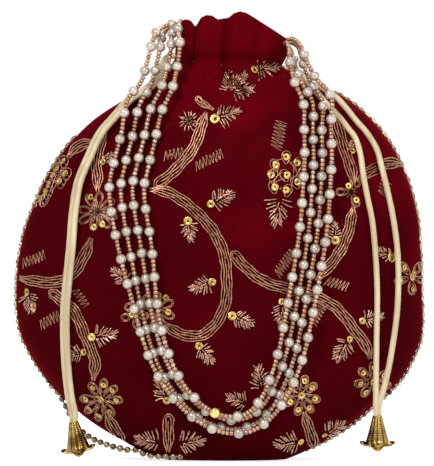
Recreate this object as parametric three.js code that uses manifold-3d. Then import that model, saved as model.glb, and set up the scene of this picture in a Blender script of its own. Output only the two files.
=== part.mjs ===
// A velvet potli: a round drawstring pouch with a gathered neck and an open frill.
// Its front carries couched gold wire embroidery, and a string of beads edges its side seam.
// Two satin drawstrings run through the neck and end in flower bells, and four strands
// of pearls make the handle, which hangs down the front.
// Millimetres, Z up. The front faces minus Y and the pouch stands on its pressed bottom.
import * as THREE from "three";
import { mergeVertices } from "three/addons/utils/BufferGeometryUtils.js";
import Module from "manifold-3d";

const wasm = await Module();
wasm.setup();

// Pouch body
const BELLY_WIDTH = 220;
const BELLY_DEPTH = 94;
const BELLY_HEIGHT = 90;
const LEFT_DROP = 90;
const RIGHT_DROP = 96;
const BOTTOM_FULLNESS = 6;
const PRESS_DEPTH = 5.5;
const PRESS_REACH = 30;
const FLAT_BAND = 1.8;
const SEAM_LIFT = 4.2;
const CLOTH = 1.5;
const SEAM_GAP = 0.3;
const CLEARANCE = 0.35;

// Neck, drawn in by the drawstrings, and the frill above it
const NECK_DEPTH = 46;
const WAIST_DEPTH = 36;
const FRILL_DEPTH = 40;
const NECK_CURVE = 0.75;
const LEFT = { sign: -1, neckX: 38, neckZ: 203.5, waistX: 24.5, waistZ: 219, tipX: 23.7, tipZ: 227.4, power: 2 };
const RIGHT = { sign: 1, neckX: 41.2, neckZ: 211.5, waistX: 34.6, waistZ: 216, tipX: 39, tipZ: 223.8, power: 2.4 };
const FRILL_CREST = 17.2;
const FRILL_WAVE = 1.4;
const GATHERS = 4;
const NECK_GATHER = 2.2;
const WAIST_GATHER = 0.8;
const FRILL_GATHER = 3;

// Drawstrings, their channel in the neck and the slits at its two ends
const CORD = 3.2;
const CORD_SIDES = 8;
const CHANNEL = 6.4;
const CASING = 0.8;
const CORD_RISE = 1.85;
const SLIT_DEPTH = 5 * CORD;
const SLIT_WIDTH = 11;
const SLIT_HEIGHT = 4.6;

// Bells on the drawstring ends
const BELL_HEIGHT = 19;
const BELL_TOP = 6.6;
const BELL_MOUTH = 18.6;
const BELL_WALL = 0.7;
const BELL_PETALS = 6;
const PETAL_REACH = 1.2;
const PETAL_CURL = 1.6;
const THROAT = 5.4;
const KNOT = 6.2;
const KNOT_BELOW = 4.2;
const LEFT_BELL_LEAN = 0.18;

// Handle strands
const PEARL = 5.7;
const PEARL_PITCH = 13.7;
const SEED = 2.9;
const THREAD = 0.9;
const STRAND_SPACING = 6.15;
const END_SPACING = SEED + 2.5 * CLEARANCE;
const FIRST_PEARLS = [41.6, 37.9, 27.2, 42.7];
const LAST_PEARL = 27;
const GOLD_BEAD = 6.3;

// Beads along the side seam
const EDGE_BEAD = 2.8;
const EDGE_PITCH = 4.7;
const EDGE_SLACK = 7;

// Wire embroidery on the front
const VINE_WIDTH = 5.6;
const WIRE_HEIGHT = 0.9;
const FLOWER = 15;
const SPRAY = 12;

const COLUMNS = 4 * GATHERS;
const HALF_COLUMNS = COLUMNS / 2;
const RAYS = 12;
const ROWS = [0, 0.2, 0.4, 0.58, 0.74, 0.88, 1, 1.45, 2, 2.5, 2.8, 3];
const HALF_WIDTH = BELLY_WIDTH / 2;

const mix = (a, b, t) => a + (b - a) * t;
const clamp = (t) => Math.min(1, Math.max(0, t));
const ease = (from, to, t) => {
  const s = clamp((t - from) / (to - from));
  return s * s * (3 - 2 * s);
};

// Closed bodies
function body(points, triangles) {
  let volume = 0;
  for (const [a, b, c] of triangles) {
    volume += points[a].dot(new THREE.Vector3().crossVectors(points[b], points[c]));
  }
  const geometry = new THREE.BufferGeometry();
  geometry.setAttribute("position", new THREE.Float32BufferAttribute(points.flatMap((p) => p.toArray()), 3));
  geometry.setIndex(triangles.flatMap(([a, b, c]) => (volume < 0 ? [a, c, b] : [a, b, c])));
  return geometry;
}

function welded(geometry) {
  geometry.deleteAttribute("normal");
  geometry.deleteAttribute("uv");
  const merged = mergeVertices(geometry, 1e-4);
  const points = [];
  for (let n = 0; n < merged.attributes.position.count; n += 1) {
    points.push(new THREE.Vector3().fromBufferAttribute(merged.attributes.position, n));
  }
  const triangles = [];
  for (let n = 0; n < merged.index.count; n += 3) {
    const [a, b, c] = [0, 1, 2].map((k) => merged.index.getX(n + k));
    if (a !== b && b !== c && c !== a) {
      triangles.push([a, b, c]);
    }
  }
  return body(points, triangles);
}

function toSolid(geometry) {
  return new wasm.Manifold(
    new wasm.Mesh({
      numProp: 3,
      vertProperties: new Float32Array(geometry.attributes.position.array),
      triVerts: new Uint32Array(geometry.index.array),
    }),
  );
}

function fromSolid(solid) {
  const mesh = solid.getMesh();
  const geometry = new THREE.BufferGeometry();
  geometry.setAttribute("position", new THREE.BufferAttribute(new Float32Array(mesh.vertProperties), 3));
  geometry.setIndex(new THREE.BufferAttribute(new Uint32Array(mesh.triVerts), 1));
  return geometry;
}

const group = new THREE.Group();

function add(name, geometry, look) {
  const mesh = new THREE.Mesh(geometry, new THREE.MeshStandardMaterial(look));
  mesh.name = name;
  group.add(mesh);
  return mesh;
}

const VELVET = { color: 0x5a0410, roughness: 0.95, metalness: 0 };
const SATIN = { color: 0xe0cb9c, roughness: 0.5, metalness: 0 };
const GOLD = { color: 0xc89a35, roughness: 0.25, metalness: 1 };
const WIRE = { color: 0xa9794f, roughness: 0.4, metalness: 1 };
const PEARLY = { color: 0xe3d8cc, roughness: 0.25, metalness: 0 };
const EDGE_PEARLY = { color: 0xcbb890, roughness: 0.3, metalness: 0 };

// Pouch surface: u runs across a panel from seam to seam, v up from the widest row
// through the neck (1), the waist with its drawstrings (2) and the frill edge (3)
function edgeOf(side, v, inset) {
  if (v <= 1) {
    const reach = HALF_WIDTH - inset;
    const neck = side.neckX - inset;
    const end = Math.acos((neck / reach) ** (side.power / 2));
    const rise = (side.neckZ - BELLY_HEIGHT) / Math.sin(end) ** (2 / side.power);
    const turn = end * v;
    const x = reach * Math.cos(turn) ** (2 / side.power);
    return [side.sign * x, BELLY_HEIGHT + rise * Math.sin(turn) ** (2 / side.power)];
  }
  if (v <= 2) {
    const x = mix(side.neckX, side.waistX, (v - 1) ** NECK_CURVE) - inset;
    return [side.sign * x, mix(side.neckZ, side.waistZ, v - 1)];
  }
  return [
    side.sign * (mix(side.waistX, side.tipX, v - 2) - inset),
    mix(side.waistZ, side.tipZ, v - 2),
  ];
}

function depthAt(v) {
  if (v <= 1) {
    return mix(NECK_DEPTH, BELLY_DEPTH, Math.cos((v * Math.PI) / 2) ** 0.9) / 2;
  }
  return v <= 2 ? mix(NECK_DEPTH, WAIST_DEPTH, v - 1) / 2 : mix(WAIST_DEPTH, FRILL_DEPTH, v - 2) / 2;
}

function gatherAt(v) {
  if (v <= 1) {
    return NECK_GATHER * ease(0.4, 1, v);
  }
  return v <= 2 ? mix(NECK_GATHER, WAIST_GATHER, v - 1) : mix(WAIST_GATHER, FRILL_GATHER, v - 2);
}

const acrossAt = (s) => Math.sign(s) * (1 - (1 - Math.abs(s)) ** 2);

// One point of the front (facing -1) or back (facing 1) panel, a set depth inside its outer face
function panelPoint(facing, s, v, inset, gap) {
  const u = acrossAt(s);
  const [leftX, leftZ] = edgeOf(LEFT, v, inset);
  const [rightX, rightZ] = edgeOf(RIGHT, v, inset);
  const fold = Math.cos(Math.PI * GATHERS * (s + 1));
  const power = mix(2.3, 2, ease(0.5, 1, v));
  const round = mix(0.6, 0.5, ease(0.5, 1, v));
  const swell = (depthAt(v) - inset) * (1 - Math.abs(u) ** power) ** round;
  const depth = swell + gatherAt(v) * fold * (1 - u ** 6);
  const crest = Math.max(0, v - 2) * (FRILL_CREST * (1 - u ** 6) - FRILL_WAVE * fold);
  const x = mix(leftX, rightX, (u + 1) / 2);
  const z = mix(leftZ, rightZ, (u + 1) / 2) + crest;
  return new THREE.Vector3(x, facing * (depth + gap), z);
}

// The round bottom below the widest row, pressed flat where it rests
function bottomPoint(facing, share, angle, inset, gap) {
  const low = -Math.sin(angle);
  const drop = mix(LEFT_DROP, RIGHT_DROP, (1 + Math.cos(angle)) / 2) - inset;
  const full = low ** 1.5;
  const power = mix(2.3, BOTTOM_FULLNESS, full);
  const depth = (BELLY_DEPTH / 2 - inset) * (1 - share ** power) ** mix(0.6, 0.5, full);
  const raw = BELLY_HEIGHT - drop * share * low;
  const onSeam = share > 0.999;
  const pressed = onSeam ? raw : raw - PRESS_DEPTH * (1 - ease(0, PRESS_REACH, raw - inset));
  const rest = onSeam ? SEAM_LIFT + inset : inset;
  const z = pressed - rest < (onSeam ? 0 : FLAT_BAND) ? rest : pressed;
  return new THREE.Vector3((HALF_WIDTH - inset) * share * Math.cos(angle), facing * (depth + gap), z);
}

function panelSheet(facing, inset, gap) {
  const points = [];
  for (const v of ROWS) {
    for (let column = 0; column <= COLUMNS; column += 1) {
      points.push(panelPoint(facing, (column - HALF_COLUMNS) / HALF_COLUMNS, v, inset, gap));
    }
  }
  for (let ray = 1; ray < RAYS; ray += 1) {
    for (let step = 1; step <= HALF_COLUMNS; step += 1) {
      const angle = Math.PI * (1 + ray / RAYS);
      points.push(bottomPoint(facing, acrossAt(step / HALF_COLUMNS), angle, inset, gap));
    }
  }
  return points;
}

function sheetFaces() {
  const at = (row, column) => row * (COLUMNS + 1) + column;
  const onRay = (ray, step) => {
    if (ray === 0 || step === 0) {
      return at(0, HALF_COLUMNS - step);
    }
    if (ray === RAYS) {
      return at(0, HALF_COLUMNS + step);
    }
    return ROWS.length * (COLUMNS + 1) + (ray - 1) * HALF_COLUMNS + step - 1;
  };
  const faces = [];
  for (let row = 0; row < ROWS.length - 1; row += 1) {
    for (let column = 0; column < COLUMNS; column += 1) {
      const corners = [at(row, column), at(row, column + 1), at(row + 1, column + 1), at(row + 1, column)];
      faces.push([corners[0], corners[1], corners[2]], [corners[0], corners[2], corners[3]]);
    }
  }
  for (let ray = 0; ray < RAYS; ray += 1) {
    for (let step = 0; step < HALF_COLUMNS; step += 1) {
      faces.push([onRay(ray, step), onRay(ray, step + 1), onRay(ray + 1, step + 1)]);
      if (step > 0) {
        faces.push([onRay(ray, step), onRay(ray + 1, step + 1), onRay(ray + 1, step)]);
      }
    }
  }
  const rim = [];
  for (let row = ROWS.length - 1; row >= 0; row -= 1) {
    rim.push(at(row, 0));
  }
  for (let ray = 1; ray < RAYS; ray += 1) {
    rim.push(onRay(ray, HALF_COLUMNS));
  }
  for (let row = 0; row < ROWS.length; row += 1) {
    rim.push(at(row, COLUMNS));
  }
  for (let column = COLUMNS - 1; column > 0; column -= 1) {
    rim.push(at(ROWS.length - 1, column));
  }
  return { faces, rim };
}

const { faces: SHEET_FACES, rim: SHEET_RIM } = sheetFaces();

// A sheet of cloth with its two faces and the edge between them
function clothPanel(facing) {
  const outer = panelSheet(facing, 0, SEAM_GAP / 2);
  const inner = panelSheet(facing, CLOTH, SEAM_GAP / 2);
  const shift = outer.length;
  const faces = SHEET_FACES.flatMap(([a, b, c]) => [
    [a, b, c],
    [a + shift, c + shift, b + shift],
  ]);
  SHEET_RIM.forEach((p, n) => {
    const q = SHEET_RIM[(n + 1) % SHEET_RIM.length];
    faces.push([q, p, p + shift], [q, p + shift, q + shift]);
  });
  return body([...outer, ...inner], faces);
}

// Slits at the two ends of the channel, where the drawstrings come out
function slitAt(side, rise) {
  const slit = welded(new THREE.BoxGeometry(SLIT_DEPTH, SLIT_WIDTH, SLIT_HEIGHT));
  slit.translate(side.sign * side.waistX, 0, side.waistZ + rise);
  return toSolid(slit);
}

const slits = [slitAt(LEFT, CORD_RISE), slitAt(RIGHT, -CORD_RISE)];

function slitPanel(facing) {
  const panel = toSolid(clothPanel(facing));
  return fromSolid(slits.reduce((cloth, slit) => cloth.subtract(slit), panel));
}

const frontCloth = slitPanel(-1);
const frontSolid = toSolid(frontCloth);
add("front_panel", frontCloth, VELVET);
add("back_panel", slitPanel(1), VELVET);

// The casing inside the neck is sewn to the panels at both edges and leaves the channel between
const CASING_ROWS = [0.88, 1, 1.45, 2, 2.5, 2.8];

function casingBand() {
  const points = [];
  const around = 2 * COLUMNS;
  for (const layer of [0, CASING]) {
    CASING_ROWS.forEach((v, row) => {
      const sewn = row === 0 || row === CASING_ROWS.length - 1;
      const inset = CLOTH + (sewn ? CLEARANCE : CHANNEL) + layer;
      for (let n = 0; n < around; n += 1) {
        const front = n <= COLUMNS;
        const s = (front ? n : around - n) / HALF_COLUMNS - 1;
        points.push(panelPoint(front ? -1 : 1, s, v, inset, 0));
      }
    });
  }
  const rows = CASING_ROWS.length;
  const at = (layer, row, n) => (layer * rows + row) * around + (n % around);
  const faces = [];
  const quad = (a, b, c, d) => faces.push([a, b, c], [a, c, d]);
  for (let n = 0; n < around; n += 1) {
    for (let row = 0; row < rows - 1; row += 1) {
      quad(at(0, row, n), at(0, row, n + 1), at(0, row + 1, n + 1), at(0, row + 1, n));
      quad(at(1, row, n), at(1, row + 1, n), at(1, row + 1, n + 1), at(1, row, n + 1));
    }
    quad(at(1, 0, n), at(1, 0, n + 1), at(0, 0, n + 1), at(0, 0, n));
    quad(at(0, rows - 1, n), at(0, rows - 1, n + 1), at(1, rows - 1, n + 1), at(1, rows - 1, n));
  }
  return body(points, faces);
}

add("neck_casing", casingBand(), VELVET);

// The front face straight behind a point of the front view; a point beyond the seam
// is drawn in towards the middle of the belly
const frontGeometry = body(panelSheet(-1, 0, SEAM_GAP / 2), SHEET_FACES);
frontGeometry.computeVertexNormals();
const frontFace = new THREE.Mesh(frontGeometry, new THREE.MeshBasicMaterial({ side: THREE.DoubleSide }));
const ray = new THREE.Raycaster();

// What a straight look along +Y at a place of the front view meets, if anything
function hitFront(x, z) {
  ray.set(new THREE.Vector3(x, -2 * BELLY_DEPTH, z), new THREE.Vector3(0, 1, 0));
  return ray.intersectObject(frontFace)[0];
}

function frontAt(x, z) {
  let share = 1;
  let hit = null;
  while (!hit) {
    hit = hitFront(x * share, mix(BELLY_HEIGHT, z, share));
    share -= 0.01;
  }
  const normal = hit.normal.clone().multiplyScalar(hit.normal.y > 0 ? -1 : 1);
  return { point: hit.point, normal: normal.normalize() };
}

// Sideways-facing stretches of the front count as facing forward at least this much
const STEEPEST = 0.45;

// Where something lies on the front at a set distance from the velvet
function layAt(x, z, lift) {
  const { point, normal } = frontAt(x, z);
  return point.clone().addScaledVector(normal, lift);
}

// Where something hangs straight before a place on the front, clear of the velvet by a set distance
function beforeFront(x, z, lift) {
  const { point, normal } = frontAt(x, z);
  return new THREE.Vector3(x, point.y - lift / Math.max(STEEPEST, -normal.y), z);
}

// Once it has left the belly, a hanging stretch falls straight down and doesn't follow the bag in
function hang(points) {
  let furthest = Infinity;
  return points.map((point) => {
    furthest = Math.min(furthest, point.y);
    return point.clone().setY(furthest);
  });
}

const WIRE_TOP = CLEARANCE + WIRE_HEIGHT;

// Bells
function bellProfile(turn, layer) {
  const petal = Math.cos(BELL_PETALS * turn);
  const wall = layer * BELL_WALL;
  const top = BELL_TOP / 2;
  const mouth = BELL_MOUTH / 2;
  return [
    [layer ? THROAT / 2 : top, BELL_HEIGHT],
    [layer ? THROAT / 2 : top + 0.5, BELL_HEIGHT - 2.6],
    [mix(top, mouth, 0.3) - wall, BELL_HEIGHT * 0.6],
    [mix(top, mouth, 0.52) - wall, BELL_HEIGHT * 0.36],
    [mix(top, mouth, 0.78) - wall, BELL_HEIGHT * 0.15],
    [mouth + PETAL_REACH * petal - wall, BELL_HEIGHT * 0.06 + PETAL_CURL * (1 + petal)],
  ];
}

function bell() {
  const around = 4 * BELL_PETALS;
  const points = [];
  for (const layer of [0, 1]) {
    for (let n = 0; n < around; n += 1) {
      const turn = (2 * Math.PI * n) / around;
      for (const [r, z] of bellProfile(turn, layer)) {
        points.push(new THREE.Vector3(r * Math.cos(turn), r * Math.sin(turn), z - BELL_HEIGHT));
      }
    }
  }
  const rings = bellProfile(0, 0).length;
  const at = (layer, n, ring) => (layer * around + (n % around)) * rings + ring;
  const faces = [];
  const quad = (a, b, c, d) => faces.push([a, b, c], [a, c, d]);
  for (let n = 0; n < around; n += 1) {
    for (let ring = 0; ring < rings - 1; ring += 1) {
      quad(at(0, n, ring), at(0, n, ring + 1), at(0, n + 1, ring + 1), at(0, n + 1, ring));
      quad(at(1, n, ring), at(1, n + 1, ring), at(1, n + 1, ring + 1), at(1, n, ring + 1));
    }
    quad(at(0, n, 0), at(0, n + 1, 0), at(1, n + 1, 0), at(1, n, 0));
    quad(at(0, n, rings - 1), at(1, n, rings - 1), at(1, n + 1, rings - 1), at(0, n + 1, rings - 1));
  }
  return body(points, faces);
}

// The bound ends of a drawstring: a neck through the bell's throat and a knot that holds it
function boundEnds() {
  const neck = THROAT / 2 - 1.3 * CLEARANCE;
  const knot = KNOT / 2;
  const profile = [
    [0, CORD * 1.9],
    [CORD * 1.02, CORD * 1.6],
    [CORD * 1.12, CORD * 0.75],
    [neck, CLEARANCE],
    [neck, -KNOT_BELOW],
    [knot, -KNOT_BELOW - KNOT * 0.1],
    [knot, -KNOT_BELOW - KNOT * 0.48],
    [knot * 0.5, -KNOT_BELOW - KNOT * 0.7],
    [0, -KNOT_BELOW - KNOT * 0.74],
  ].map(([r, z]) => new THREE.Vector2(Math.max(0, r), z));
  return welded(new THREE.LatheGeometry(profile, 10));
}

// Drawstring routes in the front view, from the slit down to the bell: x and z
const LEFT_ROUTE = [
  [-34.3, 207.8], [-40.7, 202], [-48, 197.8], [-56.7, 188.2], [-64.9, 178.4], [-70.4, 166.9], [-76.4, 152.2],
  [-79, 136.9], [-80.6, 117.1], [-82.3, 99.8], [-83.7, 85], [-83.8, 65.5], [-82.6, 46.5], [-80.9, 33.4],
];
const RIGHT_INNER_ROUTE = [
  [42, 213], [50.2, 204.6], [58.9, 194.6], [65.5, 187.7], [70.4, 181.5], [74.4, 176], [77, 167.9],
  [78.6, 156.5], [80.8, 144.5], [83.5, 130.9], [85.3, 112.1], [86.2, 93.2], [85.9, 67.1], [85.6, 45.6],
  [85.5, 34.7],
];
const RIGHT_OUTER_ROUTE = [
  [44.2, 212], [55.6, 204], [63.4, 198.9], [69.4, 192.5], [75.4, 185], [80.8, 178.9], [86.3, 169.7],
  [88.9, 160.3], [91.8, 148.3], [94.5, 135.9], [96.7, 121.6], [97.8, 108.5], [97.8, 93.2], [97, 80.2],
  [95.2, 66.4], [92.4, 50.6], [89.3, 37.6],
];
const LEFT_BELL = [-79.4, 21.8];
const RIGHT_BELL = [86.3, 25];
const CORD_LIFT = CORD / 2 + WIRE_TOP + 2 * CLEARANCE;
const PAIR_SHIFT = CORD / 2 + 0.25;
const OVERLAP = 0.6;
const PAIR_FORWARD = 2 * PAIR_SHIFT * Math.sqrt(1 - OVERLAP * OVERLAP);

const laid = (route, shift) => hang(route.map(([x, z]) => beforeFront(x + shift, z, CORD_LIFT)));

// A free end from the slit to the bell, shifted sideways in the front view and brought forward
function freeEnd(route, depth, shift, forward) {
  return laid(route, shift).map((point, n) => {
    const settle = ease(0.55, 1, n / (route.length - 1));
    return point.setY(mix(point.y, Math.min(depth, point.y), settle) - forward);
  });
}

// The point of a panel at a given height in the neck
function neckPoint(facing, s, z, inset) {
  let low = 1;
  let high = 2.7;
  for (let n = 0; n < 24; n += 1) {
    const middle = (low + high) / 2;
    if (panelPoint(facing, s, middle, inset, 0).z < z) {
      low = middle;
    } else {
      high = middle;
    }
  }
  return panelPoint(facing, s, low, inset, 0);
}

// The stretch inside the channel, out of one slit, round the neck and back to it
function channelLoop(side, rise) {
  const inset = CLOTH + CHANNEL / 2;
  const points = [];
  for (const facing of [-1, 1]) {
    const half = [];
    for (let n = 3; n <= COLUMNS; n += 1) {
      const s = side.sign * (1 - n / HALF_COLUMNS);
      const waist = panelPoint(facing, s, 2, inset, 0);
      half.push(neckPoint(facing, s, waist.z + rise, inset));
    }
    points.push(...(facing < 0 ? half : half.reverse().slice(1)));
  }
  return points;
}

function tube(points, steps) {
  const ring = [];
  for (let n = 0; n < CORD_SIDES; n += 1) {
    const turn = (2 * Math.PI * n) / CORD_SIDES;
    ring.push(new THREE.Vector2((CORD / 2) * Math.cos(turn), (CORD / 2) * Math.sin(turn)));
  }
  const path = new THREE.CatmullRomCurve3(points);
  return welded(
    new THREE.ExtrudeGeometry(new THREE.Shape(ring), { steps, extrudePath: path, bevelEnabled: false }),
  );
}

// A whole drawstring: both free ends, the loop in the channel and the bound ends in the bell
function drawstring(side, rise, frontEnd, backEnd, bellAt, lean) {
  const mouthZ = side.waistZ + rise;
  const outX = side.sign * (side.waistX + CORD * 0.6);
  const out = (y) => [
    new THREE.Vector3(outX - side.sign * CORD * 1.6, y * 1.35, mouthZ),
    new THREE.Vector3(outX + side.sign * CORD * 0.5, y, mouthZ),
  ];
  const toBell = (shift) => [
    new THREE.Vector3(bellAt.x + shift, bellAt.y, bellAt.z + CORD * 2.6),
    new THREE.Vector3(bellAt.x + shift, bellAt.y, bellAt.z + CORD * 0.95),
  ];
  const points = [
    ...toBell(frontEnd.shift).reverse(),
    ...frontEnd.points.slice().reverse(),
    ...out(-PAIR_SHIFT).reverse(),
    ...channelLoop(side, rise),
    ...out(PAIR_SHIFT),
    ...backEnd.points,
    ...toBell(backEnd.shift),
  ];
  const length = new THREE.CatmullRomCurve3(points).getLength();
  const ends = boundEnds();
  ends.rotateX(Math.PI / 2);
  ends.rotateY(-lean);
  ends.translate(bellAt.x, bellAt.y, bellAt.z);
  return fromSolid(toSolid(tube(points, Math.round(length / (CORD * 2.3)))).add(toSolid(ends)));
}

const leftDepth = laid(LEFT_ROUTE, 0).at(-1).y;
const rightDepth = laid(RIGHT_INNER_ROUTE, 0).at(-1).y;
const leftBellAt = new THREE.Vector3(LEFT_BELL[0], leftDepth, LEFT_BELL[1]);
const rightBellAt = new THREE.Vector3(RIGHT_BELL[0], rightDepth, RIGHT_BELL[1]);
const leftEnds = [
  { shift: -PAIR_SHIFT, points: freeEnd(LEFT_ROUTE, leftDepth, -PAIR_SHIFT * OVERLAP, 0) },
  { shift: PAIR_SHIFT, points: freeEnd(LEFT_ROUTE, leftDepth, PAIR_SHIFT * OVERLAP, PAIR_FORWARD) },
];
const rightEnds = [
  { shift: -PAIR_SHIFT, points: freeEnd(RIGHT_INNER_ROUTE, rightDepth, 0, 0) },
  { shift: PAIR_SHIFT, points: freeEnd(RIGHT_OUTER_ROUTE, rightDepth, 0, 0) },
];
add("left_drawstring", drawstring(LEFT, CORD_RISE, leftEnds[1], leftEnds[0], leftBellAt, LEFT_BELL_LEAN), SATIN);
add("right_drawstring", drawstring(RIGHT, -CORD_RISE, rightEnds[0], rightEnds[1], rightBellAt, 0), SATIN);

for (const [name, at, lean] of [["left_bell", leftBellAt, LEFT_BELL_LEAN], ["right_bell", rightBellAt, 0]]) {
  const shell = bell();
  shell.rotateY(-lean);
  add(name, shell, GOLD).position.copy(at);
}

// Bead chains: rings of set radius at set distances along a curve
function chain(curve, stations, sides) {
  const length = curve.getLength();
  const points = [];
  const faces = [];
  stations.forEach(([distance, radius]) => {
    const share = clamp(distance / length);
    const centre = curve.getPointAt(share);
    const along = curve.getTangentAt(share);
    const out = new THREE.Vector3(0, 1, 0).addScaledVector(along, -along.y).normalize();
    const side = new THREE.Vector3().crossVectors(along, out);
    for (let n = 0; n < sides; n += 1) {
      const turn = (2 * Math.PI * n) / sides;
      points.push(
        centre
          .clone()
          .addScaledVector(out, radius * Math.cos(turn))
          .addScaledVector(side, radius * Math.sin(turn)),
      );
    }
  });
  for (let ring = 0; ring < stations.length - 1; ring += 1) {
    for (let n = 0; n < sides; n += 1) {
      const a = ring * sides + n;
      const b = ring * sides + ((n + 1) % sides);
      faces.push([a, b, b + sides], [a, b + sides, a + sides]);
    }
  }
  const last = (stations.length - 1) * sides;
  for (let n = 1; n < sides - 1; n += 1) {
    faces.push([0, n + 1, n], [last, last + n, last + n + 1]);
  }
  return body(points, faces);
}

// Handle: the middle line of the four strands in the front view, with how far the strands are rolled
// together (1 is a square bundle, 0 is side by side) and how far forward they are held at least
const HANDLE_ROUTE = [
  [-9, 224, 1, 2], [-14.6, 232.6, 1, 2], [-20.6, 239, 1, 2.4], [-25.8, 237.8, 0.95, -2], [-28.8, 232, 0.7, -9],
  [-29.2, 225, 0.45, -15.2], [-31.3, 215, 0.35, -16], [-34.6, 203.4, 0.25, -17], [-37.9, 188.9, 0.2],
  [-42.8, 174.2, 0.15], [-46.7, 159.5, 0.1], [-48.9, 148.6, 0.1], [-47.7, 134.1, 0.15], [-45.2, 120, 0.2],
  [-42.8, 105.9, 0.25], [-40.1, 90.5, 0.3], [-36.7, 73.7, 0.4], [-31.9, 58, 0.5], [-25.4, 45.1, 0.65],
  [-17.5, 34.9, 0.8], [-7.5, 26.8, 1], [3.9, 22.5, 1], [15.4, 23.5, 1], [25.4, 31.3, 0.85], [32.8, 44.2, 0.7],
  [38.4, 59.9, 0.6], [41.6, 75, 0.6], [44.6, 91.5, 0.6], [47.2, 106.3, 0.6], [49.3, 120, 0.6],
  [50.9, 134.1, 0.6], [51.8, 148.6, 0.6], [52.6, 163.3, 0.6], [52.2, 178.5, 0.6], [50.8, 192.6, 0.6],
  [48, 205.7, 0.6, -20], [44.4, 215.6, 0.65, -17], [44.4, 222, 0.75, -13.5], [43.6, 227.6, 0.9, -6.6],
  [40.6, 231.9, 1, -0.2], [35.6, 232.4, 1, 3.4], [30, 226.5, 1, 2],
];
const OVER_CORDS = 186;
const BOTTOM_OF_HANDLE = 21;
const STRAND_LIFT = PEARL / 2 + WIRE_TOP + CLEARANCE;

// Strand 0 is the outermost of the hanging loop and strand 3 the innermost
function strandPoints(strand) {
  const outside = strand === 0 || strand === 3;
  const handed = strand < 2 ? 1 : -1;
  const last = HANDLE_ROUTE.length - 1;
  const flat = HANDLE_ROUTE.map(([x, z, roll], n) => {
    const before = HANDLE_ROUTE[Math.max(0, n - 1)];
    const after = HANDLE_ROUTE[Math.min(last, n + 1)];
    const along = new THREE.Vector2(after[0] - before[0], after[1] - before[1]).normalize();
    const fromEnd = Math.min(n, last - n);
    const spacing = mix(END_SPACING, STRAND_SPACING, ease(1, 3.6, fromEnd));
    const turn = (roll * Math.PI) / 2;
    const across = handed * spacing * (0.5 + (outside ? Math.cos(turn) : 0));
    return { x: x + across * along.y, z: z - across * along.x, step: spacing * Math.sin(turn), turn };
  });
  const base = flat.map(({ x, z }, n) => {
    const held = HANDLE_ROUTE[n][3];
    const lift = STRAND_LIFT + (z > OVER_CORDS ? CORD + CLEARANCE : 0);
    const lying = layAt(x, z, lift);
    if (held === undefined) {
      return lying;
    }
    const clear = beforeFront(x, z, lift).y;
    return new THREE.Vector3(x, Math.min(n, last - n) < 5 ? held : Math.min(held, clear), z);
  });
  const left = hang(base.slice(0, BOTTOM_OF_HANDLE + 1));
  const right = hang(base.slice(BOTTOM_OF_HANDLE + 1).reverse()).reverse();
  return [...left, ...right].map((point, n) => ({ point, step: flat[n].step, turn: flat[n].turn }));
}

const innerStrands = [strandPoints(1), strandPoints(2)];

function strandCurve(strand) {
  const own = strandPoints(strand);
  const inner = innerStrands[strand < 2 ? 0 : 1];
  const outside = strand === 0 || strand === 3;
  const points = own.map(({ point, step, turn }, n) => {
    if (!outside) {
      return point;
    }
    const before = inner[Math.max(0, n - 1)].point;
    const after = inner[Math.min(own.length - 1, n + 1)].point;
    const along = after.clone().sub(before).normalize();
    const forward = new THREE.Vector3(0, -1, 0).addScaledVector(along, along.y).normalize();
    const over = point.clone().setY(inner[n].point.y).addScaledVector(forward, step);
    over.y = Math.min(over.y, point.y);
    return point.clone().lerp(over, ease(0, 0.35, Math.sin(turn)));
  });
  return new THREE.CatmullRomCurve3(points);
}

const GOLD_BEAD_STRAND = 3;
const GOLD_BEAD_AT = new THREE.Vector2(-2, 26.3);

function strandStations(curve, strand) {
  const length = curve.getLength();
  const seed = SEED / 2;
  const stations = [];
  let goldAt = null;
  const first = FIRST_PEARLS[strand];
  for (let start = 0; start < first - PEARL; start += SEED * 1.2) {
    stations.push([start, seed]);
  }
  for (let middle = first; middle < length - LAST_PEARL; middle += PEARL_PITCH) {
    const at = curve.getPointAt(middle / length);
    const near = Math.hypot(at.x - GOLD_BEAD_AT.x, at.z - GOLD_BEAD_AT.y) < PEARL_PITCH / 2 + 1;
    if (strand === GOLD_BEAD_STRAND && near && goldAt === null) {
      goldAt = middle;
      const reach = GOLD_BEAD / 2 + CLEARANCE;
      stations.push([middle - reach - 0.4, seed], [middle - reach, THREAD / 2]);
      stations.push([middle + reach, THREAD / 2], [middle + reach + 0.4, seed]);
    } else {
      stations.push([middle - PEARL * 0.46, seed], [middle, PEARL / 2], [middle + PEARL * 0.46, seed]);
    }
  }
  for (let rest = stations.at(-1)[0] + SEED * 1.2; rest < length - SEED; rest += SEED * 1.2) {
    stations.push([rest, seed]);
  }
  stations.push([length, seed]);
  return { stations, goldAt };
}

for (let strand = 0; strand < 4; strand += 1) {
  const curve = strandCurve(strand);
  const { stations, goldAt } = strandStations(curve, strand);
  add(`handle_strand_${strand + 1}`, chain(curve, stations, 5), PEARLY);
  if (goldAt !== null) {
    const hole = THREAD / 2 + CLEARANCE;
    const profile = [];
    for (let n = 0; n <= 6; n += 1) {
      const turn = Math.PI * (n / 6 - 0.5) * 0.82;
      profile.push(new THREE.Vector2((GOLD_BEAD / 2) * Math.cos(turn), (GOLD_BEAD / 2) * Math.sin(turn)));
    }
    const [bottom, top] = [profile[0], profile.at(-1)];
    profile.push(new THREE.Vector2(hole, top.y), new THREE.Vector2(hole, bottom.y), bottom.clone());
    const bead = welded(new THREE.LatheGeometry(profile, 12));
    const share = goldAt / curve.getLength();
    const mesh = add("gold_bead", bead, GOLD);
    mesh.position.copy(curve.getPointAt(share));
    mesh.quaternion.setFromUnitVectors(new THREE.Vector3(0, 1, 0), curve.getTangentAt(share));
  }
}

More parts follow.
